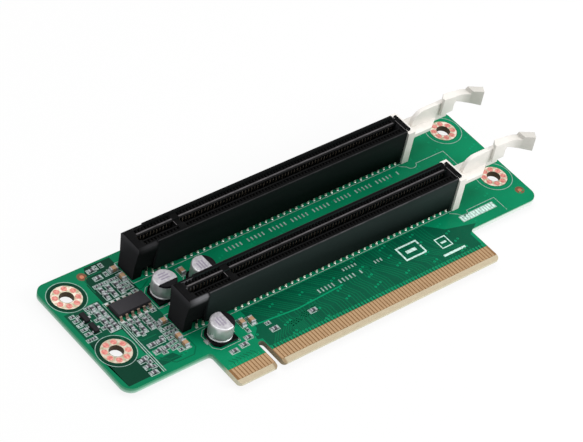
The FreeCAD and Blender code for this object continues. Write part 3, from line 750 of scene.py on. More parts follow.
class Shape:
    """Collects faces in millimetres and turns them into one object with these finishes."""

    def __init__(self, name, *makers):
        self.name = name
        self.makers = makers
        self.bm = bmesh.new()
        self.use(makers[0])

    def use(self, maker):
        """Gives one of the finishes to the faces that are made from here on."""
        self.paint = self.makers.index(maker)

    def skin(self, sections, closed=False):
        """A surface through sections with equal numbers of points, capped if it has ends."""
        loops = [[self.bm.verts.new(p) for p in section] for section in sections]
        pairs = list(zip(loops, loops[1:]))
        if closed:
            pairs.append((loops[-1], loops[0]))
        faces = []
        for lower, upper in pairs:
            for i, here in enumerate(lower):
                after = (i + 1) % len(lower)
                faces.append([here, lower[after], upper[after], upper[i]])
        if not closed:
            faces += [loops[0][::-1], loops[-1]]
        for corners in faces:
            self.bm.faces.new(corners).material_index = self.paint

    def prism(self, outline, low, high):
        """An outline of (x, y) points between two heights."""
        self.skin([[(x, y, z) for x, y in outline] for z in (low, high)])

    def block(self, x_range, y_range, z_range):
        """A box between two values on each axis."""
        self.prism(rectangle(x_range, y_range), *z_range)

    def brick(self, place, along, half, z_range):
        """A box in the directions of a part at (x, y, turn), along its length and to both sides."""
        corners = rectangle(along, (-half, half))
        self.prism([turned(p, *place) for p in corners], *z_range)

    def bent_strip(self, place, line, half, thick):
        """A flat lead through (distance, height) points, in the directions of a part."""
        self.skin([[turned(p, *place) for p in ((reach, -half, z - thick), (reach, half, z - thick),
                                                (reach, half, z), (reach, -half, z))]
                   for reach, z in line])

    def along_x(self, profile, x_range):
        """A profile of (y, z) points between two values of x."""
        self.skin([[(x, y, z) for y, z in profile] for x in x_range])

    def turned_shape(self, profile, x, y, sides=32):
        """A solid of revolution about a vertical axis, from (radius, z) points."""
        self.skin([[(*p, z) for p in circle(x, y, radius, sides)] for radius, z in profile])

    def turned_ring(self, profile, x, y, sides=32):
        """A closed profile of (radius, z) points turned about a vertical axis."""
        spokes = zip(*(circle(x, y, radius, sides) for radius, _ in profile))
        self.skin([[(*p, z) for p, (_, z) in zip(spoke, profile)] for spoke in spokes], closed=True)

    def ring(self, x, y, inner, outer, low, high, sides=32):
        """A flat ring."""
        self.turned_ring([(inner, low), (outer, low), (outer, high), (inner, high)], x, y, sides)

    def ribbon(self, path, width, low, high, closed=False):
        """A flat strip of even width along a path of (x, y) points, with mitred corners."""
        count = len(path)
        sections = []
        for i, (x, y) in enumerate(path):
            before = path[i - 1] if i > 0 or closed else None
            after = path[(i + 1) % count] if i < count - 1 or closed else None
            sections.append(self.mitre((x, y), before, after, width / 2, low, high))
        self.skin(sections, closed=closed)

    def mitre(self, here, before, after, half, low, high):
        """The cross section of a ribbon at one point of its path."""
        runs = []
        if before:
            runs.append(Vector(here) - Vector(before))
        if after:
            runs.append(Vector(after) - Vector(here))
        sides = [Vector((-run.y, run.x)).normalized() for run in runs]
        side = sum(sides, Vector((0, 0))).normalized()
        reach = half / max(0.4, side.dot(sides[0]))
        left = Vector(here) + side * reach
        right = Vector(here) - side * reach
        return [(*left, low), (*right, low), (*right, high), (*left, high)]

    def frame_line(self, x, y, width, depth, line, low, high, angle=0.0):
        """A rectangular outline about (x, y)."""
        corners = rectangle((-width / 2, width / 2), (-depth / 2, depth / 2))
        self.ribbon([turned(c, x, y, angle) for c in corners], line, low, high, closed=True)

    def copy_node(self, node):
        """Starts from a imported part, with its shared points joined and its flat faces whole."""
        self.bm.from_mesh(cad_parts[node].data)
        bmesh.ops.scale(self.bm, vec=(1000, 1000, 1000), verts=self.bm.verts)
        bmesh.ops.remove_doubles(self.bm, verts=self.bm.verts, dist=0.003)
        bmesh.ops.dissolve_limit(self.bm, angle_limit=math.radians(1.0), verts=self.bm.verts,
                                 edges=self.bm.edges)
        for face in self.bm.faces:
            face.material_index = self.paint

    def soften(self, width, steps=2, angle=28.0, where=None, clamp=True):
        """Rounds the sharp outer and inner edges made so far, less where clamp finds no room."""
        sharp = [e for e in self.bm.edges
                 if e.is_manifold and e.calc_face_angle(0) > math.radians(angle)
                 and (where is None or all(where(v.co) for v in e.verts))]
        bmesh.ops.bevel(self.bm, geom=sharp, offset=width, offset_type="OFFSET", segments=steps,
                        profile=0.6, affect="EDGES", clamp_overlap=clamp)

    def finished(self, slot=None, replaces=(), smooth=32.0):
        """Makes the object, which rides on the card."""
        bmesh.ops.recalc_face_normals(self.bm, faces=self.bm.faces)
        bmesh.ops.scale(self.bm, vec=(0.001, 0.001, 0.001), verts=self.bm.verts)
        mesh = bpy.data.meshes.new(self.name)
        self.bm.to_mesh(mesh)
        self.bm.free()
        for maker in self.makers:
            mesh.materials.append(finish(maker))
        mesh.polygons.foreach_set("use_smooth", [True] * len(mesh.polygons))
        mesh.set_sharp_from_angle(angle=math.radians(smooth))
        piece = bpy.data.objects.new(self.name, mesh)
        bpy.context.scene.collection.objects.link(piece)
        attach(piece, "root")
        if replaces:
            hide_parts(*replaces)


# ---- Stage ----

FLOOR_REACH = 1.5
CARD_MIDDLE = (0.03, 0.025, 0.0)
# name, place, size in metres and power in watts
LAMPS = [("key_lamp", (0.42, -0.42, 0.42), 0.34, 3.0), ("top_lamp", (0.0, 0.15, 0.75), 0.6, 3.2)]
CAMERA_PLACE = (-0.320158, -0.278908, 0.438313)
CAMERA_AXES = ((0.763339, -0.624460, 0.165418),
               (0.342791, 0.608593, 0.715617),
               (-0.547546, -0.489555, 0.678623))


def light_world():
    """Even grey light from all round, with a white background behind it."""
    world = bpy.data.worlds.new("studio")
    bpy.context.scene.world = world
    nodes = Nodes(world)
    grey, white = [nodes.value(0, "ShaderNodeBackground", None, {"Color": WHITE, "Strength": level})
                   for level in (0.5, 1.0)]
    mixed = nodes.value(0, "ShaderNodeMixShader", None,
                        {0: nodes.seen_directly(), 1: grey, 2: white})
    nodes.node("ShaderNodeOutputWorld", None, {"Surface": mixed})


def floor_material():
    """A pale floor that reads white where it is lit and keeps the shadow."""
    material = bpy.data.materials.new("pale_floor")
    nodes = Nodes(material)
    matt = nodes.value(0, "ShaderNodeBsdfDiffuse", None, {"Color": (0.8, 0.8, 0.8, 1.0)})
    glow = nodes.value(0, "ShaderNodeEmission", None, {"Color": WHITE, "Strength": 1.0})
    lit = nodes.value(0, "ShaderNodeMixShader", None,
                      {0: nodes.seen_directly() * 0.88, 1: matt, 2: glow})
    nodes.node("ShaderNodeOutputMaterial", None, {"Surface": lit})
    return material


class StageOperator(bpy.types.Operator):
    """Sets up the floor, the lamps and the camera"""
    bl_idname = "card.stage"
    bl_label = "Stage"

    def execute(self, context):
        scene = context.scene
        scene.view_settings.view_transform = "Standard"
        light_world()

        mesh = bpy.data.meshes.new("floor")
        edges = (-FLOOR_REACH, FLOOR_REACH)
        mesh.from_pydata([(*corner, FLOOR_LEVEL) for corner in rectangle(edges, edges)], [],
                         [(0, 1, 2, 3)])
        mesh.materials.append(floor_material())
        floor = bpy.data.objects.new("floor", mesh)
        scene.collection.objects.link(floor)

        for lamp in LAMPS:
            self.add_lamp(scene, *lamp)
        self.add_camera(scene)
        return {"FINISHED"}

    def add_lamp(self, scene, name, place, lamp_size, power):
        """A soft square lamp that points at the card."""
        lamp = bpy.data.lights.new(name, "AREA")
        lamp.size = lamp_size
        lamp.energy = power
        holder = bpy.data.objects.new(name, lamp)
        direction = Vector(CARD_MIDDLE) - Vector(place)
        facing = direction.to_track_quat("-Z", "Y").to_matrix().to_4x4()
        holder.matrix_world = Matrix.Translation(place) @ facing
        scene.collection.objects.link(holder)

    def add_camera(self, scene):
        """The camera, its axes pointing right, up and back."""
        camera = bpy.data.cameras.new("camera")
        camera.lens = 157.38
        camera.sensor_width = 36.0
        camera.sensor_fit = "HORIZONTAL"
        camera.clip_start = 0.01
        viewer = bpy.data.objects.new("camera", camera)
        axes = Matrix(CAMERA_AXES).transposed().to_4x4()
        viewer.matrix_world = Matrix.Translation(CAMERA_PLACE) @ axes
        scene.collection.objects.link(viewer)
        scene.camera = viewer


# ---- Board ----

def arc(x, y, radius, first, last, step):
    """Points of an arc between two angles in degrees."""
    return [turned((radius, 0.0), x, y, a) for a in range(first, last, step)]


DARK_PATCHES = [
    [(-36.2, 12.9), (-26.4, 12.9), (-25.4, 18.0), (-29.0, 19.0)]
    + arc(-32.0, 23.6, 4.8, -60, -271, -15) + [(-32.0, 28.6), (-36.2, 28.6)],
    [(-25.4, 36.6), (-14.9, 36.6), (-14.9, 49.9), (-22.6, 49.9), (-25.4, 44.6)],
]
LANE_PATCHES = [
    [(-25.6, 14.2), (-19.4, 14.2), (-20.6, 16.4), (-25.2, 16.4)],
    [(1.25, 4.95), (71.6, 4.95), (71.6, 10.4), (75.6, 12.7), (66.8, 15.0), (62.4, 18.9),
     (2.2, 18.9), (2.2, 12.4), (0.0, 10.4), (0.0, 9.3), (1.25, 9.0)],
    [(-26.6, 19.4), (-14.9, 19.4), (-14.9, 31.0), (-26.6, 31.0)],
    [(-36.2, 28.6), (-26.0, 28.6), (-26.0, 39.2), (-36.2, 39.2)],
]
UNDER_PATCHES = [
    [(-26.0, 14.6), (-24.0, 12.9), (-17.4, 12.9), (-15.6, 14.8), (-15.6, 30.4), (-18.4, 33.0),
     (-26.0, 33.0)],
    [(-24.4, 36.0), (-15.6, 36.0), (-15.6, 47.0), (-17.8, 49.2), (-24.4, 49.2)],
    [(2.2, 5.3), (71.6, 5.3), (71.6, 10.6), (64.0, 14.6), (60.4, 18.4), (5.0, 18.4), (2.2, 15.8)],
]
LOOSE_TRACES = [
    [(-25.4, 16.8), (-21.6, 13.4), (-16.4, 13.3), (-14.6, 15.1), (-14.6, 18.6)],
    [(-26.2, 18.6), (-22.4, 14.9), (-17.6, 14.7)],
    [(-25.9, 31.4), (-25.9, 35.8), (-24.6, 37.1)],
    [(-30.4, 29.2), (-28.4, 27.2), (-28.4, 22.8)],
    [(-34.9, 30.4), (-34.9, 37.9), (-33.8, 39.0), (-30.6, 39.0)],
    [(-20.4, 23.2), (-24.4, 23.2), (-25.8, 24.6)],
    [(-19.4, 47.0), (-24.0, 47.0), (-25.0, 46.0), (-25.0, 41.6)],
    [(-17.9, 39.0), (-16.2, 37.3), (-14.0, 37.3), (-11.0, 38.9)],
]
WIDE_TRACE = [(2.4, 13.5), (15.2, 12.4), (30.4, 13.1)]
VIA_TRIES = 4000


def lane_traces():
    """Paths of the pair-wise traces that slant from the front slot down to the card edge."""
    paths = []
    for i in range(34):
        if i % 5 == 4:
            continue
        x = 2.6 + i
        slant = 6.4 - 0.05 * i
        knee = 18.7 - slant
        low = 0.05 * (i % 5)
        paths.append([(x, 18.8), (x + slant, knee), (x + slant, knee - 1.4 - low),
                      (x + slant + 1.6, 9.2 - low), (x + slant + 1.6, 5.4)])
    for i in range(16):
        paths.append([(3.0 + i, 5.4), (3.0 + i, 6.4 + 0.22 * i), (5.2 + i, 8.6 + 0.22 * i)])
    for i in range(24):
        if i % 5 != 4:
            sweep = [(0.0, 18.8), (0.5, 16.4 - 0.05 * i), (2.0, 13.6 - 0.1 * i),
                     (4.4, 10.8 - 0.08 * i), (6.0, 8.4), (6.4, 6.8), (6.4, 5.4)]
            paths.append([(38.6 + i + dx, y) for dx, y in sweep])
    for i in range(7):
        x = -3.2 - 1.1 * i
        paths.append([(x, 5.5), (x, 6.6), (x - 0.8, 7.4)])
    return paths


class BoardOperator(bpy.types.Operator):
    """Colours the board and adds its copper zones, traces and vias"""
    bl_idname = "card.board"
    bl_label = "Board"

    def execute(self, context):
        dress("board", mask_over_copper)
        self.add_zones()
        traces = Shape("traces", mask_over_trace)
        for path in lane_traces() + LOOSE_TRACES:
            for low, high in both_faces(0.01, 0.014):
                traces.ribbon(path, size("trace_width"), low, high)
        traces.finished(slot="solder_mask")
        self.add_vias(context.scene.card_sizes.via_count)
        return {"FINISHED"}

    def add_zones(self):
        """Zones without copper, zones of traces and the clear rings round the holes."""
        zones = Shape("mask_zones", mask_over_laminate, mask_over_lanes)
        top, under = both_faces(0.02, 0.006)
        for maker, patches, level in ((mask_over_laminate, DARK_PATCHES, top),
                                      (mask_over_lanes, LANE_PATCHES, top),
                                      (mask_over_lanes, UNDER_PATCHES, under)):
            zones.use(maker)
            for patch in patches:
                zones.prism(patch, *level)
        zones.use(mask_over_laminate)
        for x, y in HOLE_PLACES:
            radius = plated_radius(x)
            clear = 0.95 if x < 0 else 0.12
            zones.ring(x, y, radius - 0.2, radius + clear, -0.02, 0.008, 48)
        zones.finished(slot="solder_mask")

    def add_vias(self, count):
        """Tented vias on both faces, kept off the parts, the slots and the holes."""
        vias = Shape("vias", mask_over_via)
        vias.ribbon(WIDE_TRACE, 0.4, -0.01, 0.017)
        scattered = ((-36.0 + (i * 47.137) % 132.0, 6.2 + (i * 17.319) % 42.6)
                     for i in range(1, VIA_TRIES + 1))
        free = (place for place in scattered if self.is_free(*place))
        for x, y in islice(free, count):
            for low, high in both_faces(0.01, 0.02):
                vias.ring(x, y, 0.12, size("via_radius"), low, high, 12)
        vias.finished(slot="solder_mask")

    def is_free(self, x, y):
        """Whether a via may stand here."""
        beside_tongue = y < TONGUE_TOP + 1.5 and not -11.5 < x < 71.5
        at_notch = abs(x) < 1.6 and y < 9.6
        among_parts = -35.2 <= x < -14.0 and 16.0 <= y <= 49.0
        under_slot = -15.4 < x < 76.0 and any(abs(y - middle) < 4.6 for middle in SLOT_Y.values())
        at_hole = any(math.hypot(x - a, y - b) < 6.2 for a, b in HOLE_PLACES)
        at_can = any(math.hypot(x - a, y - b) < 5.2 for a, b, _ in CAN_PLACES)
        return not (beside_tongue or at_notch or among_parts or under_slot or at_hole or at_can)


class FiducialOperator(bpy.types.Operator):
    """Adds the two copper alignment dots in their open rings"""
    bl_idname = "card.fiducials"
    bl_label = "Fiducials"

    def execute(self, context):
        marks = Shape("fiducials", dot_plating, bare_laminate)
        for x, y in FIDUCIAL_PLACES:
            marks.use(bare_laminate)
            marks.turned_shape([(1.3, -0.01), (1.3, 0.01)], x, y, 28)
            marks.use(dot_plating)
            marks.turned_shape([(0.56, 0.0), (0.56, 0.03), (0.48, 0.045)], x, y, 24)
        marks.finished(slot="tinned_copper")
        return {"FINISHED"}


class CardEdgeOperator(bpy.types.Operator):
    """Gives the gold fingers their plating and the short plating stubs behind them"""
    bl_idname = "card.card_edge"
    bl_label = "Card edge"

    def execute(self, context):
        dress("gold_fingers_top", gold_plating)
        dress("gold_fingers_bottom", gold_plating)
        stubs = Shape("finger_stubs", mask_over_via)
        for x, _ in contact_columns():
            path = [(x, FINGER_TOP - 0.1), (x, FINGER_TOP + 0.9)]
            for low, high in both_faces(0.01, 0.02):
                stubs.ribbon(path, 0.36, low, high)
            stubs.ring(x, FINGER_TOP + 1.0, 0.12, 0.32, -0.01, 0.026, 12)
        stubs.finished(slot="solder_mask")
        return {"FINISHED"}


class MountingRingOperator(bpy.types.Operator):
    """Builds the tinned rings of the mounting holes with their vias and plated walls"""
    bl_idname = "card.mounting_rings"
    bl_label = "Mounting rings"

    def execute(self, context):
        rings = Shape("mounting_rings", tinned_ring, via_copper, shaded_barrel)
        for x, y in HOLE_PLACES:
            self.add_face(rings, x, y, 0.0, 1)
            self.add_face(rings, x, y, BOARD_BOTTOM, -1)
            rings.use(shaded_barrel)
            rings.ring(x, y, HOLE_RADIUS - 0.04, HOLE_RADIUS + 0.03, BOARD_BOTTOM - 0.04, 0.04, 48)
        rings.finished(slot="tinned_copper", replaces=["mounting_hole_rings"])
        return {"FINISHED"}

    def add_face(self, rings, x, y, level, side):
        """A ring with a crowned edge and its eight vias, on one face of the board."""
        outer = plated_radius(x)
        crown = [(HOLE_RADIUS, -0.02), (HOLE_RADIUS, 0.03), (HOLE_RADIUS + 0.12, 0.05),
                 (outer - 0.15, 0.05), (outer, 0.02), (outer, -0.02)]
        rings.use(tinned_ring)
        rings.turned_ring([(r, level + side * z) for r, z in crown], x, y, 56)
        via = [(0.8, 0.03), (0.8, 0.056), (0.66, 0.064)]
        rings.use(via_copper)
        for vx, vy in circle(x, y, outer - 1.03, 8, math.pi / 8):
            rings.turned_shape([(r, level + side * z) for r, z in via], vx, vy, 18)


# ---- Slots ----

class HousingOperator(bpy.types.Operator):
    """Builds both slot housings: soft-edged moulding, ribs between contacts and lead-in lips"""
    bl_idname = "card.housings"
    bl_label = "Slot housings"

    def execute(self, context):
        for name, middle in SLOT_Y.items():
            housing = Shape(f"housing_{name}", black_moulding, rubbed_edge, polished_edge,
                            comb_moulding, front_lip)
            housing.copy_node(f"slot_housing_{name}")
            self.round_edges(housing, middle)
            self.paint_rim_highlight(housing, middle)
            self.add_ribs(housing, middle)
            self.add_lips(housing, middle)
            housing.finished(slot="black_moulding", replaces=[f"slot_housing_{name}"], smooth=40.0)
        return {"FINISHED"}

    def round_edges(self, housing, middle):
        """Rounds the end block's top most, then the rim and then the rest of the moulding."""
        def on_block(point):
            on_top = point.z > RIM - 0.4 and abs(point.y - middle) > 3.0
            return on_top and point.x < BLOCK_END + 0.1

        def on_rim(point):
            return point.z > RIM - 0.02 and abs(point.y - middle) > 3.2

        housing.soften(0.45, 3, 20.0, on_block)
        housing.soften(size("rim_edge"), 2, 20.0, on_rim)
        housing.soften(size("mould_edge"), 2, 35.0, lambda point: point.z > 0.4)

    def paint_rim_highlight(self, housing, middle):
        """Gives the rounded edges along the outside of the rim the painted highlight."""
        housing.use(polished_edge)
        housing.bm.normal_update()
        for face in housing.bm.faces:
            centre = face.calc_center_median()
            outside = abs(centre.y - middle) > WALL_INSIDE + 0.4 or centre.x > WALL_END - 0.1
            on_top = centre.x > BLOCK_END and centre.z > RIM - 0.4
            if on_top and outside and 0.15 < face.normal.z < 0.97:
                face.material_index = housing.paint

    def mirror(self, housing, profile, middle, side, x_range):
        """A profile given from the slot's centre line, built on one side of the channel."""
        housing.along_x([(middle + side * y, z) for y, z in profile], x_range)

    def add_ribs(self, housing, middle):
        """The combs that hold the contacts apart, with their tops sloped into the channel."""
        half = size("rib_thickness") / 2
        low = CHANNEL_FLOOR - 0.1
        top = RIM - 0.5
        back = WALL_INSIDE + 0.1
        profile = [(back, low), (CHANNEL_HALF, low), (CHANNEL_HALF, top - 0.6),
                   (CHANNEL_HALF + 0.25, top - 0.1), (CHANNEL_HALF + 0.5, top - 0.08), (back, top)]
        # The ribs take the darker copy of the moulding: painted shade inside the slot.
        housing.use(comb_moulding)
        ribs = {round(x + side * CONTACT_PITCH / 2, 3) for x, _ in contact_columns()
                for side in (-1, 1)}
        for x in sorted(ribs):
            for side in (-1, 1):
                self.mirror(housing, profile, middle, side, (x - half, x + half))

    def add_lips(self, housing, middle):
        """Sloped lips along both sides of the channel, and thin strips on the key and at the end
        that carry a painted highlight.
        """
        top = RIM - 0.46
        inner = CHANNEL_HALF + size("lead_in")
        profile = [(CHANNEL_HALF + 0.02, top - 0.6), (CHANNEL_HALF + 0.02, top - 0.45),
                   (inner, top), (inner + 0.4, top), (inner + 0.4, top - 0.6)]
        last = FIRST_CONTACT + (LONG_SIDE_CONTACTS - 0.5) * CONTACT_PITCH
        first = -FIRST_CONTACT - (SHORT_SIDE_CONTACTS - 0.5) * CONTACT_PITCH
        # Back lips take the painted highlight, front lips the near-black finish.
        for x_range in ((first, -1.0), (1.0, last)):
            for side, maker in ((-1, front_lip), (1, rubbed_edge)):
                housing.use(maker)
                self.mirror(housing, profile, middle, side, x_range)
        # Thin strips on the key and at the channel's end that show the painted highlight.
        housing.use(rubbed_edge)
        housing.block((-1.02, -0.84), (middle - CHANNEL_HALF, middle + CHANNEL_HALF),
                      (RIM - 1.2, RIM - 0.76))
        housing.block((WALL_END - 0.3, WALL_END - 0.1), (middle - 2.75, middle + 1.4),
                      (RIM - 0.3, RIM + 0.01))


class ContactOperator(bpy.types.Operator):
    """Builds the spring contacts, their tails through the board and the solder joints"""
    bl_idname = "card.contacts"
    bl_label = "Contacts"

    def execute(self, context):
        for name, middle in SLOT_Y.items():
            contacts = Shape(f"contacts_{name}", spring_metal, contact_metal)
            joints = Shape(f"joints_{name}", solder_metal)
            for x, is_outer in contact_columns():
                for side in (-1, 1):
                    self.add_contact(contacts, x, middle, side, is_outer)
                    self.add_joint(joints, x, middle, side, is_outer)
            contacts.finished(slot="contact_metal", replaces=[f"slot_contacts_{name}"])
            joints.finished(slot="solder")
        return {"FINISHED"}

    def add_contact(self, contacts, x, middle, side, is_outer):
        """A formed strip: upright tail, slanted spring, rounded nose and a lifted end."""
        thick = size("contact_thickness")
        half = size("contact_width") / 2
        foot = OUTER_TAIL if is_outer else INNER_TAIL
        lean = (foot - 1.05) / 9.2

        def strip(line, front=0.0, back=thick):
            """A strip through points of distance from the centre line, height and half width."""
            contacts.skin([[(*corner, z) for corner in
                            rectangle((x - reach, x + reach),
                                      (middle + side * (y + front), middle + side * (y + back)))]
                           for y, z, reach in line])

        line = [(foot - z * lean, z, half) for z in (0.0, 1.2, 2.4, 4.0, 6.4, 8.2)]
        line += [(1.06, 9.0, half * 0.9), (1.16, 9.4, half * 0.84), (1.42, 9.8, half * 0.8),
                 (1.72, 10.06, half * 0.76)]
        # The strip inside the housing takes the dim copy of the plating, painted shade; the tails
        # take the lit plating.
        contacts.use(spring_metal)
        strip(line[1:])
        contacts.use(contact_metal)
        strip(line[:2])
        if is_outer:
            strip([(foot, -0.01, half + 0.04), (foot - 0.6 * lean, 0.6, half),
                   (foot - 1.1 * lean, 1.14, half * 0.7)], -0.05, thick + 0.04)
        tip = BOARD_BOTTOM - 0.85
        strip([(foot, tip, 0.12), (foot, tip + 0.25, 0.2), (foot, BOARD_BOTTOM + 0.02, 0.2)])

    def add_joint(self, joints, x, middle, side, is_outer):
        """The solder cone under the board and the low fillet on top of it."""
        foot = (OUTER_TAIL if is_outer else INNER_TAIL) + size("contact_thickness") / 2
        y = middle + side * foot
        radius = size("joint_radius")
        cone = [(radius, 0.03), (radius, -0.03), (radius * 0.74, -0.16), (radius * 0.5, -0.38),
                (0.22, -0.66)]
        joints.turned_shape([(r, BOARD_BOTTOM + z) for r, z in cone], x, y, 10)
        if is_outer:
            fillet = [(radius * 0.8, -0.02), (radius * 0.8, 0.03), (radius * 0.55, 0.12)]
            joints.turned_shape(fillet, x, y, 10)


class ClipOperator(bpy.types.Operator):
    """Builds the white retention clips with rounded edges"""
    bl_idname = "card.clips"
    bl_label = "Retention clips"

    def execute(self, context):
        for name in SLOT_NAMES:
            clip = Shape(f"clip_{name}", white_moulding)
            clip.copy_node(f"retention_clip_{name}")
            clip.soften(size("clip_edge"), 3, 24.0, clamp=False)
            clip.finished(slot="white_moulding", replaces=[f"retention_clip_{name}"], smooth=50.0)
        return {"FINISHED"}


# ---- Small parts ----

class CanOperator(bpy.types.Operator):
    """Builds the can capacitors with their bases, leads and marked ends"""
    bl_idname = "card.cans"
    bl_label = "Can capacitors"

    def execute(self, context):
        cans = Shape("cans", can_aluminium, can_top, marking_ink, grey_ink)
        bases = Shape("can_bases", black_moulding)
        leads = Shape("can_leads", solder_metal)
        for place in CAN_PLACES:
            self.add_can(cans, place)
            self.add_leads(leads, place)
        bases.copy_node("capacitor_bases")
        bases.soften(0.1, 2)
        cans.finished(slot="can_metal", replaces=["capacitor_cans"], smooth=40.0)
        bases.finished(slot="black_moulding", replaces=["capacitor_bases"])
        leads.finished(slot="solder", replaces=["capacitor_leads"])
        return {"FINISHED"}

    def add_can(self, cans, place):
        """A drawn can: rolled foot, crimp, straight wall, rounded shoulder and dished end."""
        x, y, _ = place
        wall = CAN_RADIUS
        crimp = CAN_RADIUS - size("can_groove")
        profile = [(2.9, 0.9), (3.05, 0.92), (3.13, 1.0), (wall, 1.12), (wall, 1.3), (crimp, 1.45),
                   (crimp, 1.6), (wall, 1.78), (wall, 5.1), (3.11, 5.3), (3.0, 5.46), (2.84, 5.53)]
        cans.use(can_aluminium)
        cans.turned_shape(profile, x, y, 64)
        cans.use(can_top)
        cans.turned_shape([(2.84, 5.5), (2.84, 5.55), (2.74, 5.57)], x, y, 64)
        cans.use(marking_ink)
        cans.skin([self.segment(place, radius, z) for radius, z in
                   ((3.16, 5.0), (3.165, 5.1), (3.125, 5.31), (3.015, 5.475), (2.855, 5.55),
                    (2.74, 5.59))])
        cans.use(grey_ink)
        for low, high, across in ((-1.7, -1.3, 1.1), (-0.9, -0.5, 1.5), (-0.1, 0.3, 1.3)):
            cans.brick(place, (low, high), across, (5.56, 5.585))

    def segment(self, place, radius, z):
        """The outline of a can's printed segment at one height, cut off by a chord."""
        chord = 1.3
        limit = math.acos(chord / radius)
        angles = [limit * (2 * i / 20 - 1) for i in range(21)]
        return [turned((radius * math.cos(a), radius * math.sin(a), z), *place) for a in angles]

    def add_leads(self, leads, place):
        """The two flat leads and their solder."""
        for side in (-1, 1):
            leads.brick(place, sorted((side * 2.1, side * 3.78)), 0.35, (0.0, 0.19))
            leads.brick(place, sorted((side * 2.2, side * 4.3)), 0.75, (-0.01, 0.04))
            angles = [math.pi * (i / 8 - 0.5) for i in range(9)]
            foot = [(side * (3.78 + 0.45 * math.cos(a)), 0.5 * math.sin(a)) for a in angles]
            leads.prism([turned(p, *place) for p in foot], 0.0, 0.12)
        leads.soften(0.05, 1)


class ChipOperator(bpy.types.Operator):
    """Builds the chip and the transistors with formed leads"""
    bl_idname = "card.chips"
    bl_label = "Chip and transistors"

    def execute(self, context):
        x, y = CHIP_PLACE
        body = Shape("chip", epoxy_body, marking_ink)
        body.copy_node("chip_body")
        body.soften(0.1, 2, 4.0)
        body.use(marking_ink)
        body.turned_shape([(0.42, 1.56), (0.42, 1.568), (0.36, 1.569)], x - 4.1, y - 1.3, 20)
        body.finished(slot="epoxy_body", replaces=["chip_body"])

        small = Shape("transistors", transistor_epoxy)
        small.copy_node("transistor_bodies")
        small.soften(0.12, 2)
        small.finished(slot="epoxy_body", replaces=["transistor_bodies"])

        leads = Shape("chip_leads_formed", lead_metal, solder_metal)
        gull_wing = [(2.1, 0.9), (2.25, 0.9), (2.42, 0.84), (2.52, 0.7), (2.6, 0.3), (2.7, 0.19),
                     (2.86, 0.17), (3.14, 0.17)]
        for i in range(CHIP_LEADS_A_SIDE):
            for turn in (-90.0, 90.0):
                place = (x + (i - (CHIP_LEADS_A_SIDE - 1) / 2) * CHIP_LEAD_PITCH, y, turn)
                leads.use(lead_metal)
                leads.bent_strip(place, gull_wing, 0.37, 0.14)
                leads.use(solder_metal)
                leads.brick(place, (2.7, 3.7), 0.5, (-0.01, 0.05))
        leads.finished(slot="solder", replaces=["chip_leads"])

        legs = Shape("transistor_leads_formed", dull_solder)
        short_leg = [(0.78, 0.5), (0.95, 0.48), (1.05, 0.36), (1.1, 0.16), (1.33, 0.13)]
        for tx, ty in TRANSISTOR_PLACES:
            for offset, turn in ((-0.95, 180.0), (0.95, 180.0), (0.0, 0.0)):
                place = (tx, ty + offset, turn)
                legs.bent_strip(place, short_leg, 0.22, 0.12)
                legs.brick(place, (0.95, 1.75), 0.35, (-0.01, 0.05))
        legs.finished(slot="solder", replaces=["transistor_leads"])
        return {"FINISHED"}


class ChipPartOperator(bpy.types.Operator):
    """Builds the ceramic capacitors and the chip resistors with end caps, pads and solder"""
    bl_idname = "card.chip_parts"
    bl_label = "Ceramics and resistors"

    def execute(self, context):
        bodies = Shape("ceramics", ceramic_body)
        bodies.copy_node("ceramic_capacitor_bodies")
        bodies.soften(0.06, 1)
        bodies.finished(slot="ceramic_body", replaces=["ceramic_capacitor_bodies"])
        caps = Shape("ceramic_caps", dull_solder)
        caps.copy_node("ceramic_capacitor_end_caps")
        caps.soften(0.09, 2)
        for place in CERAMIC_PLACES:
            self.add_fillets(caps, place, 2.0, 1.25, 0.55)
        caps.finished(slot="solder", replaces=["ceramic_capacitor_end_caps"])

        resistors = Shape("resistor_bodies", resistor_glaze)
        ends = Shape("resistor_ends", dull_solder)
        for place in RESISTOR_PLACES:
            resistors.brick(place, (-0.38, 0.38), 0.38, (0.02, 0.47))
            for side in (-1, 1):
                ends.brick(place, sorted((side * 0.36, side * 0.75)), 0.4, (0.0, 0.5))
        resistors.soften(0.03, 1)
        ends.soften(0.06, 2)
        for place in RESISTOR_PLACES:
            self.add_fillets(ends, place, 1.5, 0.8, 0.28)
        resistors.finished(slot="resistor_body", replaces=["resistors"])
        ends.finished(slot="solder")
        return {"FINISHED"}

    def add_fillets(self, shape, place, long, wide, rise):
        """Pads and sloped solder at both ends of a part."""
        end, half = long / 2, wide / 2
        line = [(end - 0.1, rise, half), (end + 0.02, rise * 0.8, half),
                (end + 0.14, rise * 0.36, half + 0.02), (end + 0.32, 0.05, half + 0.05)]
        for side in (-1, 1):
            sections = []
            for offset, z, reach in line:
                corners = [(side * offset, -reach, -0.01), (side * offset, reach, -0.01),
                           (side * offset, reach * 0.92, z), (side * offset, -reach * 0.92, z)]
                sections.append([turned(p, *place) for p in corners])
            shape.skin(sections)


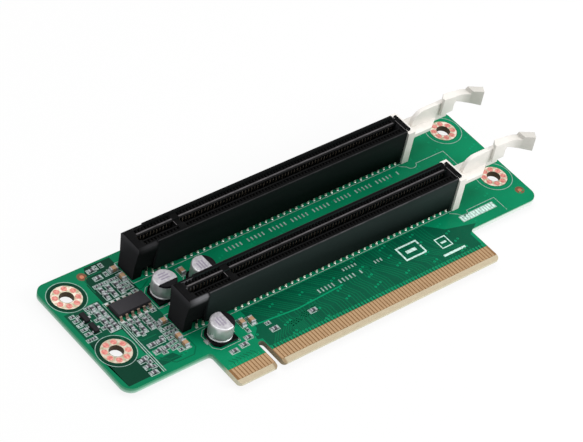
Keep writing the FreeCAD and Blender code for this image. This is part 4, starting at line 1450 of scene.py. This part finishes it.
# lowest and highest corner and turn of each field of the smallest parts
PART_FIELDS = [
    ((-24.4, 38.4), (-15.6, 43.9), 0.0),
    ((-29.6, 29.2), (-26.4, 39.6), 90.0),
    ((-25.4, 24.2), (-17.8, 30.2), 90.0),
    ((-24.2, 20.4), (-19.0, 22.4), 90.0),
    ((-24.2, 16.6), (-18.8, 19.6), 0.0),
    ((-29.4, 12.6), (-26.6, 19.2), 0.0),
    ((-23.0, 44.6), (-18.2, 46.6), 90.0),
    ((-22.6, 47.6), (-17.6, 49.6), 90.0),
    ((-18.9, 15.4), (-15.0, 24.2), 0.0),
    ((-35.6, 30.6), (-33.9, 38.6), 0.0),
    ((-9.2, 8.7), (-7.6, 10.3), 90.0),
    ((-4.9, 9.9), (-3.4, 11.3), 90.0),
    ((-0.9, 12.2), (0.4, 13.6), 90.0),
    ((4.7, 11.8), (6.3, 12.9), 0.0),
    ((-30.6, 30.4), (-29.4, 39.0), 0.0),
    ((-36.3, 28.8), (-33.4, 30.2), 0.0),
    ((-17.4, 29.2), (-15.2, 38.2), 0.0),
]
FIELD_PITCH = 1.5


def field_places():
    """Every place of the part fields."""
    places = []
    for (x0, y0), (x1, y1), turn in PART_FIELDS:
        nx, ny = [max(1, round(span / FIELD_PITCH)) for span in (x1 - x0, y1 - y0)]
        px, py = (x1 - x0) / nx, (y1 - y0) / ny
        places += [(x0 + (i + 0.5) * px, y0 + (j + 0.5) * py, turn)
                   for i in range(nx) for j in range(ny)]
    return places


def open_places():
    """Field places that no larger part covers."""
    parts = [(x, y, 1.2) for x, y, _ in RESISTOR_PLACES]
    parts += [(x, y, 1.5) for x, y, _ in CERAMIC_PLACES]
    parts += [(x, y, 1.9) for x, y in TRANSISTOR_PLACES]
    return [place for place in field_places()
            if all(math.hypot(place[0] - a, place[1] - b) > reach for a, b, reach in parts)]


class TinyPartOperator(bpy.types.Operator):
    """Fills the fields with the smallest chip parts on their pads; every seventh place is empty"""
    bl_idname = "card.tiny_parts"
    bl_label = "Smallest parts"

    def execute(self, context):
        pads = Shape("small_pads", dull_solder)
        bodies = Shape("small_bodies", resistor_glaze)
        for i, place in enumerate(open_places()):
            is_filled = i % 7 != 3
            for side in (-1, 1):
                pads.brick(place, sorted((side * 0.16, side * 0.54)), 0.27, (-0.01, 0.045))
                if is_filled:
                    pads.brick(place, sorted((side * 0.24, side * 0.46)), 0.24, (0.04, 0.3))
            if is_filled:
                bodies.brick(place, (-0.25, 0.25), 0.23, (0.05, 0.31))
        pads.finished(slot="solder")
        bodies.finished(slot="resistor_body")
        return {"FINISHED"}


# ---- Print ----

SLOT_LINE_OFFSET = 3.95
SLOT_LINE_START, SLOT_LINE_END = -15.1, 72.8
# middle, width, depth and line of each plain box
PLAIN_BOXES = [((53.8, 13.6), 6.6, 4.4, 0.5), ((63.3, 11.7), 3.4, 3.4, 0.3)]
# first and last x, lowest and highest y, and pitch of each row of short bars
BAR_ROWS = [((23.4, 39.4), (13.7, 15.0), 1.15), ((33.6, 38.6), (16.6, 17.5), 1.0),
            ((42.6, 45.6), (14.6, 15.6), 1.0), ((12.0, 71.0), (36.8, 38.0), 1.2)]


class Print(Shape):
    """A shape of printed lines, all of the same height."""

    def __init__(self, name, *makers):
        super().__init__(name, *makers)
        self.line = size("ink_width")
        self.top = size("ink_height")

    def stroke(self, path, width=None, closed=False):
        """One printed line."""
        self.ribbon(path, width or self.line, 0.0, self.top, closed)

    def outline(self, x, y, width, depth, line=1.0, angle=0.0):
        """A printed rectangle, its line given in widths of a printed line."""
        self.frame_line(x, y, width, depth, self.line * line, 0.0, self.top, angle)

    def bar(self, x_range, y_range):
        """A filled printed rectangle."""
        self.block(x_range, y_range, (0.0, self.top))


class LegendOperator(bpy.types.Operator):
    """Prints the white outlines, lines and rings; it carries no words"""
    bl_idname = "card.legend"
    bl_label = "Printed legend"

    def execute(self, context):
        legend = Print("legend", printed_ink, solid_ink)
        self.print_fields(legend)
        self.print_slot_lines(legend)
        self.print_clip_outlines(legend)
        self.print_part_outlines(legend)
        self.print_bar_rows(legend)
        legend.use(solid_ink)
        self.print_plain_boxes(legend)
        self.print_stripes(legend)
        legend.finished()
        return {"FINISHED"}

    def print_fields(self, legend):
        """Outlines round the small parts and the empty pads."""
        for x, y, turn in open_places():
            legend.outline(x, y, 1.4, 0.96, 1.4, turn)
        for x, y, turn in RESISTOR_PLACES:
            legend.outline(x, y, 2.36, 1.34, 1.3, turn)
        for x, y, turn in CERAMIC_PLACES:
            legend.outline(x, y, 3.0, 1.75, 1.0, turn)

    def print_slot_lines(self, legend):
        """Lines round each housing, and a double line to the left of the chip's field."""
        for middle in SLOT_Y.values():
            low, high = middle - SLOT_LINE_OFFSET, middle + SLOT_LINE_OFFSET
            for y in (low, high):
                legend.stroke([(SLOT_LINE_START, y), (SLOT_LINE_END, y)])
            legend.stroke([(SLOT_LINE_START, low), (SLOT_LINE_START, high)])
        for x in (-26.1, -25.5):
            legend.stroke([(x, 31.0), (x, 12.5)], 0.24)

    def print_clip_outlines(self, legend):
        """Outlines under the clips and the half circles at their feet."""
        for name, reach in (("front", 10.9), ("back", 12.8)):
            middle = SLOT_Y[name]
            y = middle - 5.7
            legend.stroke([(71.8, middle - 4.4), (73.7, y)])
            legend.stroke([(76.7, y), (86.5, y), (86.5, middle - reach)])
            angles = [math.pi * i / 14 for i in range(15)]
            legend.stroke([(75.2 - 1.5 * math.cos(a), y - 1.1 * math.sin(a)) for a in angles])

    def print_bar_rows(self, legend):
        """Rows of short bars that say nothing, and the ground of the striped field."""
        for (start, end), y_range, pitch in BAR_ROWS:
            for i in range(int((end - start) / pitch)):
                if i % 6 != 5:
                    x = start + i * pitch
                    legend.bar((x, x + 0.4), y_range)
        legend.block((73.0, 84.9), (14.5, 16.7), (0.0, legend.top * 0.6))

    def print_plain_boxes(self, legend):
        """Plain boxes with a bar in each, which say nothing."""
        for (x, y), width, depth, line in PLAIN_BOXES:
            legend.frame_line(x, y, width, depth, line, 0.0, legend.top)
            legend.bar((x - width / 4, x + width / 4), (y - line, y + line))

    def print_stripes(self, legend):
        """A field of plain stripes near the right end and a bar near the card edge."""
        for i in range(13):
            legend.bar((73.2 + 0.9 * i, 73.8 + 0.9 * i), (14.7, 16.5))
        legend.bar((60.0, 67.4), (7.4, 8.1))

    def print_part_outlines(self, legend):
        """Rings round the holes and outlines of the cans, the chip and the transistors."""
        for x, y in HOLE_PLACES:
            legend.ring(x, y, 5.0, 5.0 + legend.line, 0.0, legend.top + 0.002, 64)
        half, cut = 3.75, 1.5
        base = [(half, -half), (half, half), (-half + cut, half), (-half, half - cut),
                (-half, -half + cut), (-half + cut, -half)]
        mark = rectangle((3.4, 3.9), (-3.4, -2.2))
        for place in CAN_PLACES:
            legend.stroke([turned(p, *place) for p in base], closed=True)
            legend.prism([turned(p, *place) for p in mark], 0.0, legend.top)
        x, y = CHIP_PLACE
        legend.outline(x, y, 10.5, 7.6)
        legend.turned_shape([(0.3, 0.0), (0.3, legend.top)], x - 5.6, y - 4.2, 14)
        for tx, ty in TRANSISTOR_PLACES:
            legend.outline(tx, ty, 2.2, 3.5)


# ---- Panel and run ----

OPERATORS = [StageOperator, BoardOperator, FiducialOperator, CardEdgeOperator,
             MountingRingOperator, HousingOperator, ContactOperator, ClipOperator, CanOperator,
             ChipOperator, ChipPartOperator, TinyPartOperator, LegendOperator]


class CardPanel(bpy.types.Panel):
    """Lists the pieces of the card and their settings"""
    bl_idname = "VIEW3D_PT_riser_card"
    bl_label = "Riser Card"
    bl_space_type = "VIEW_3D"
    bl_region_type = "UI"
    bl_category = "Riser Card"

    def draw(self, context):
        column = self.layout.column()
        for operator in OPERATORS:
            column.operator(operator.bl_idname)
        for group in (context.scene.card_sizes, context.scene.card_colours):
            for name in group.bl_rna.properties.keys():
                if name not in ("rna_type", "name"):
                    column.prop(group, name)


CLASSES = [CardSizes, CardColours, *OPERATORS, CardPanel]


def register():
    """Adds the classes and the settings to Blender."""
    for item in CLASSES:
        bpy.utils.register_class(item)
    bpy.types.Scene.card_sizes = PointerProperty(type=CardSizes)
    bpy.types.Scene.card_colours = PointerProperty(type=CardColours)


def unregister():
    """Takes them out again."""
    del bpy.types.Scene.card_colours
    del bpy.types.Scene.card_sizes
    for item in reversed(CLASSES):
        bpy.utils.unregister_class(item)


def main():
    """Builds every piece in order."""
    register()
    for operator in OPERATORS:
        group, name = operator.bl_idname.split(".")
        getattr(getattr(bpy.ops, group), name)()
    bpy.context.view_layer.update()


if __name__ == "__main__":
    main()
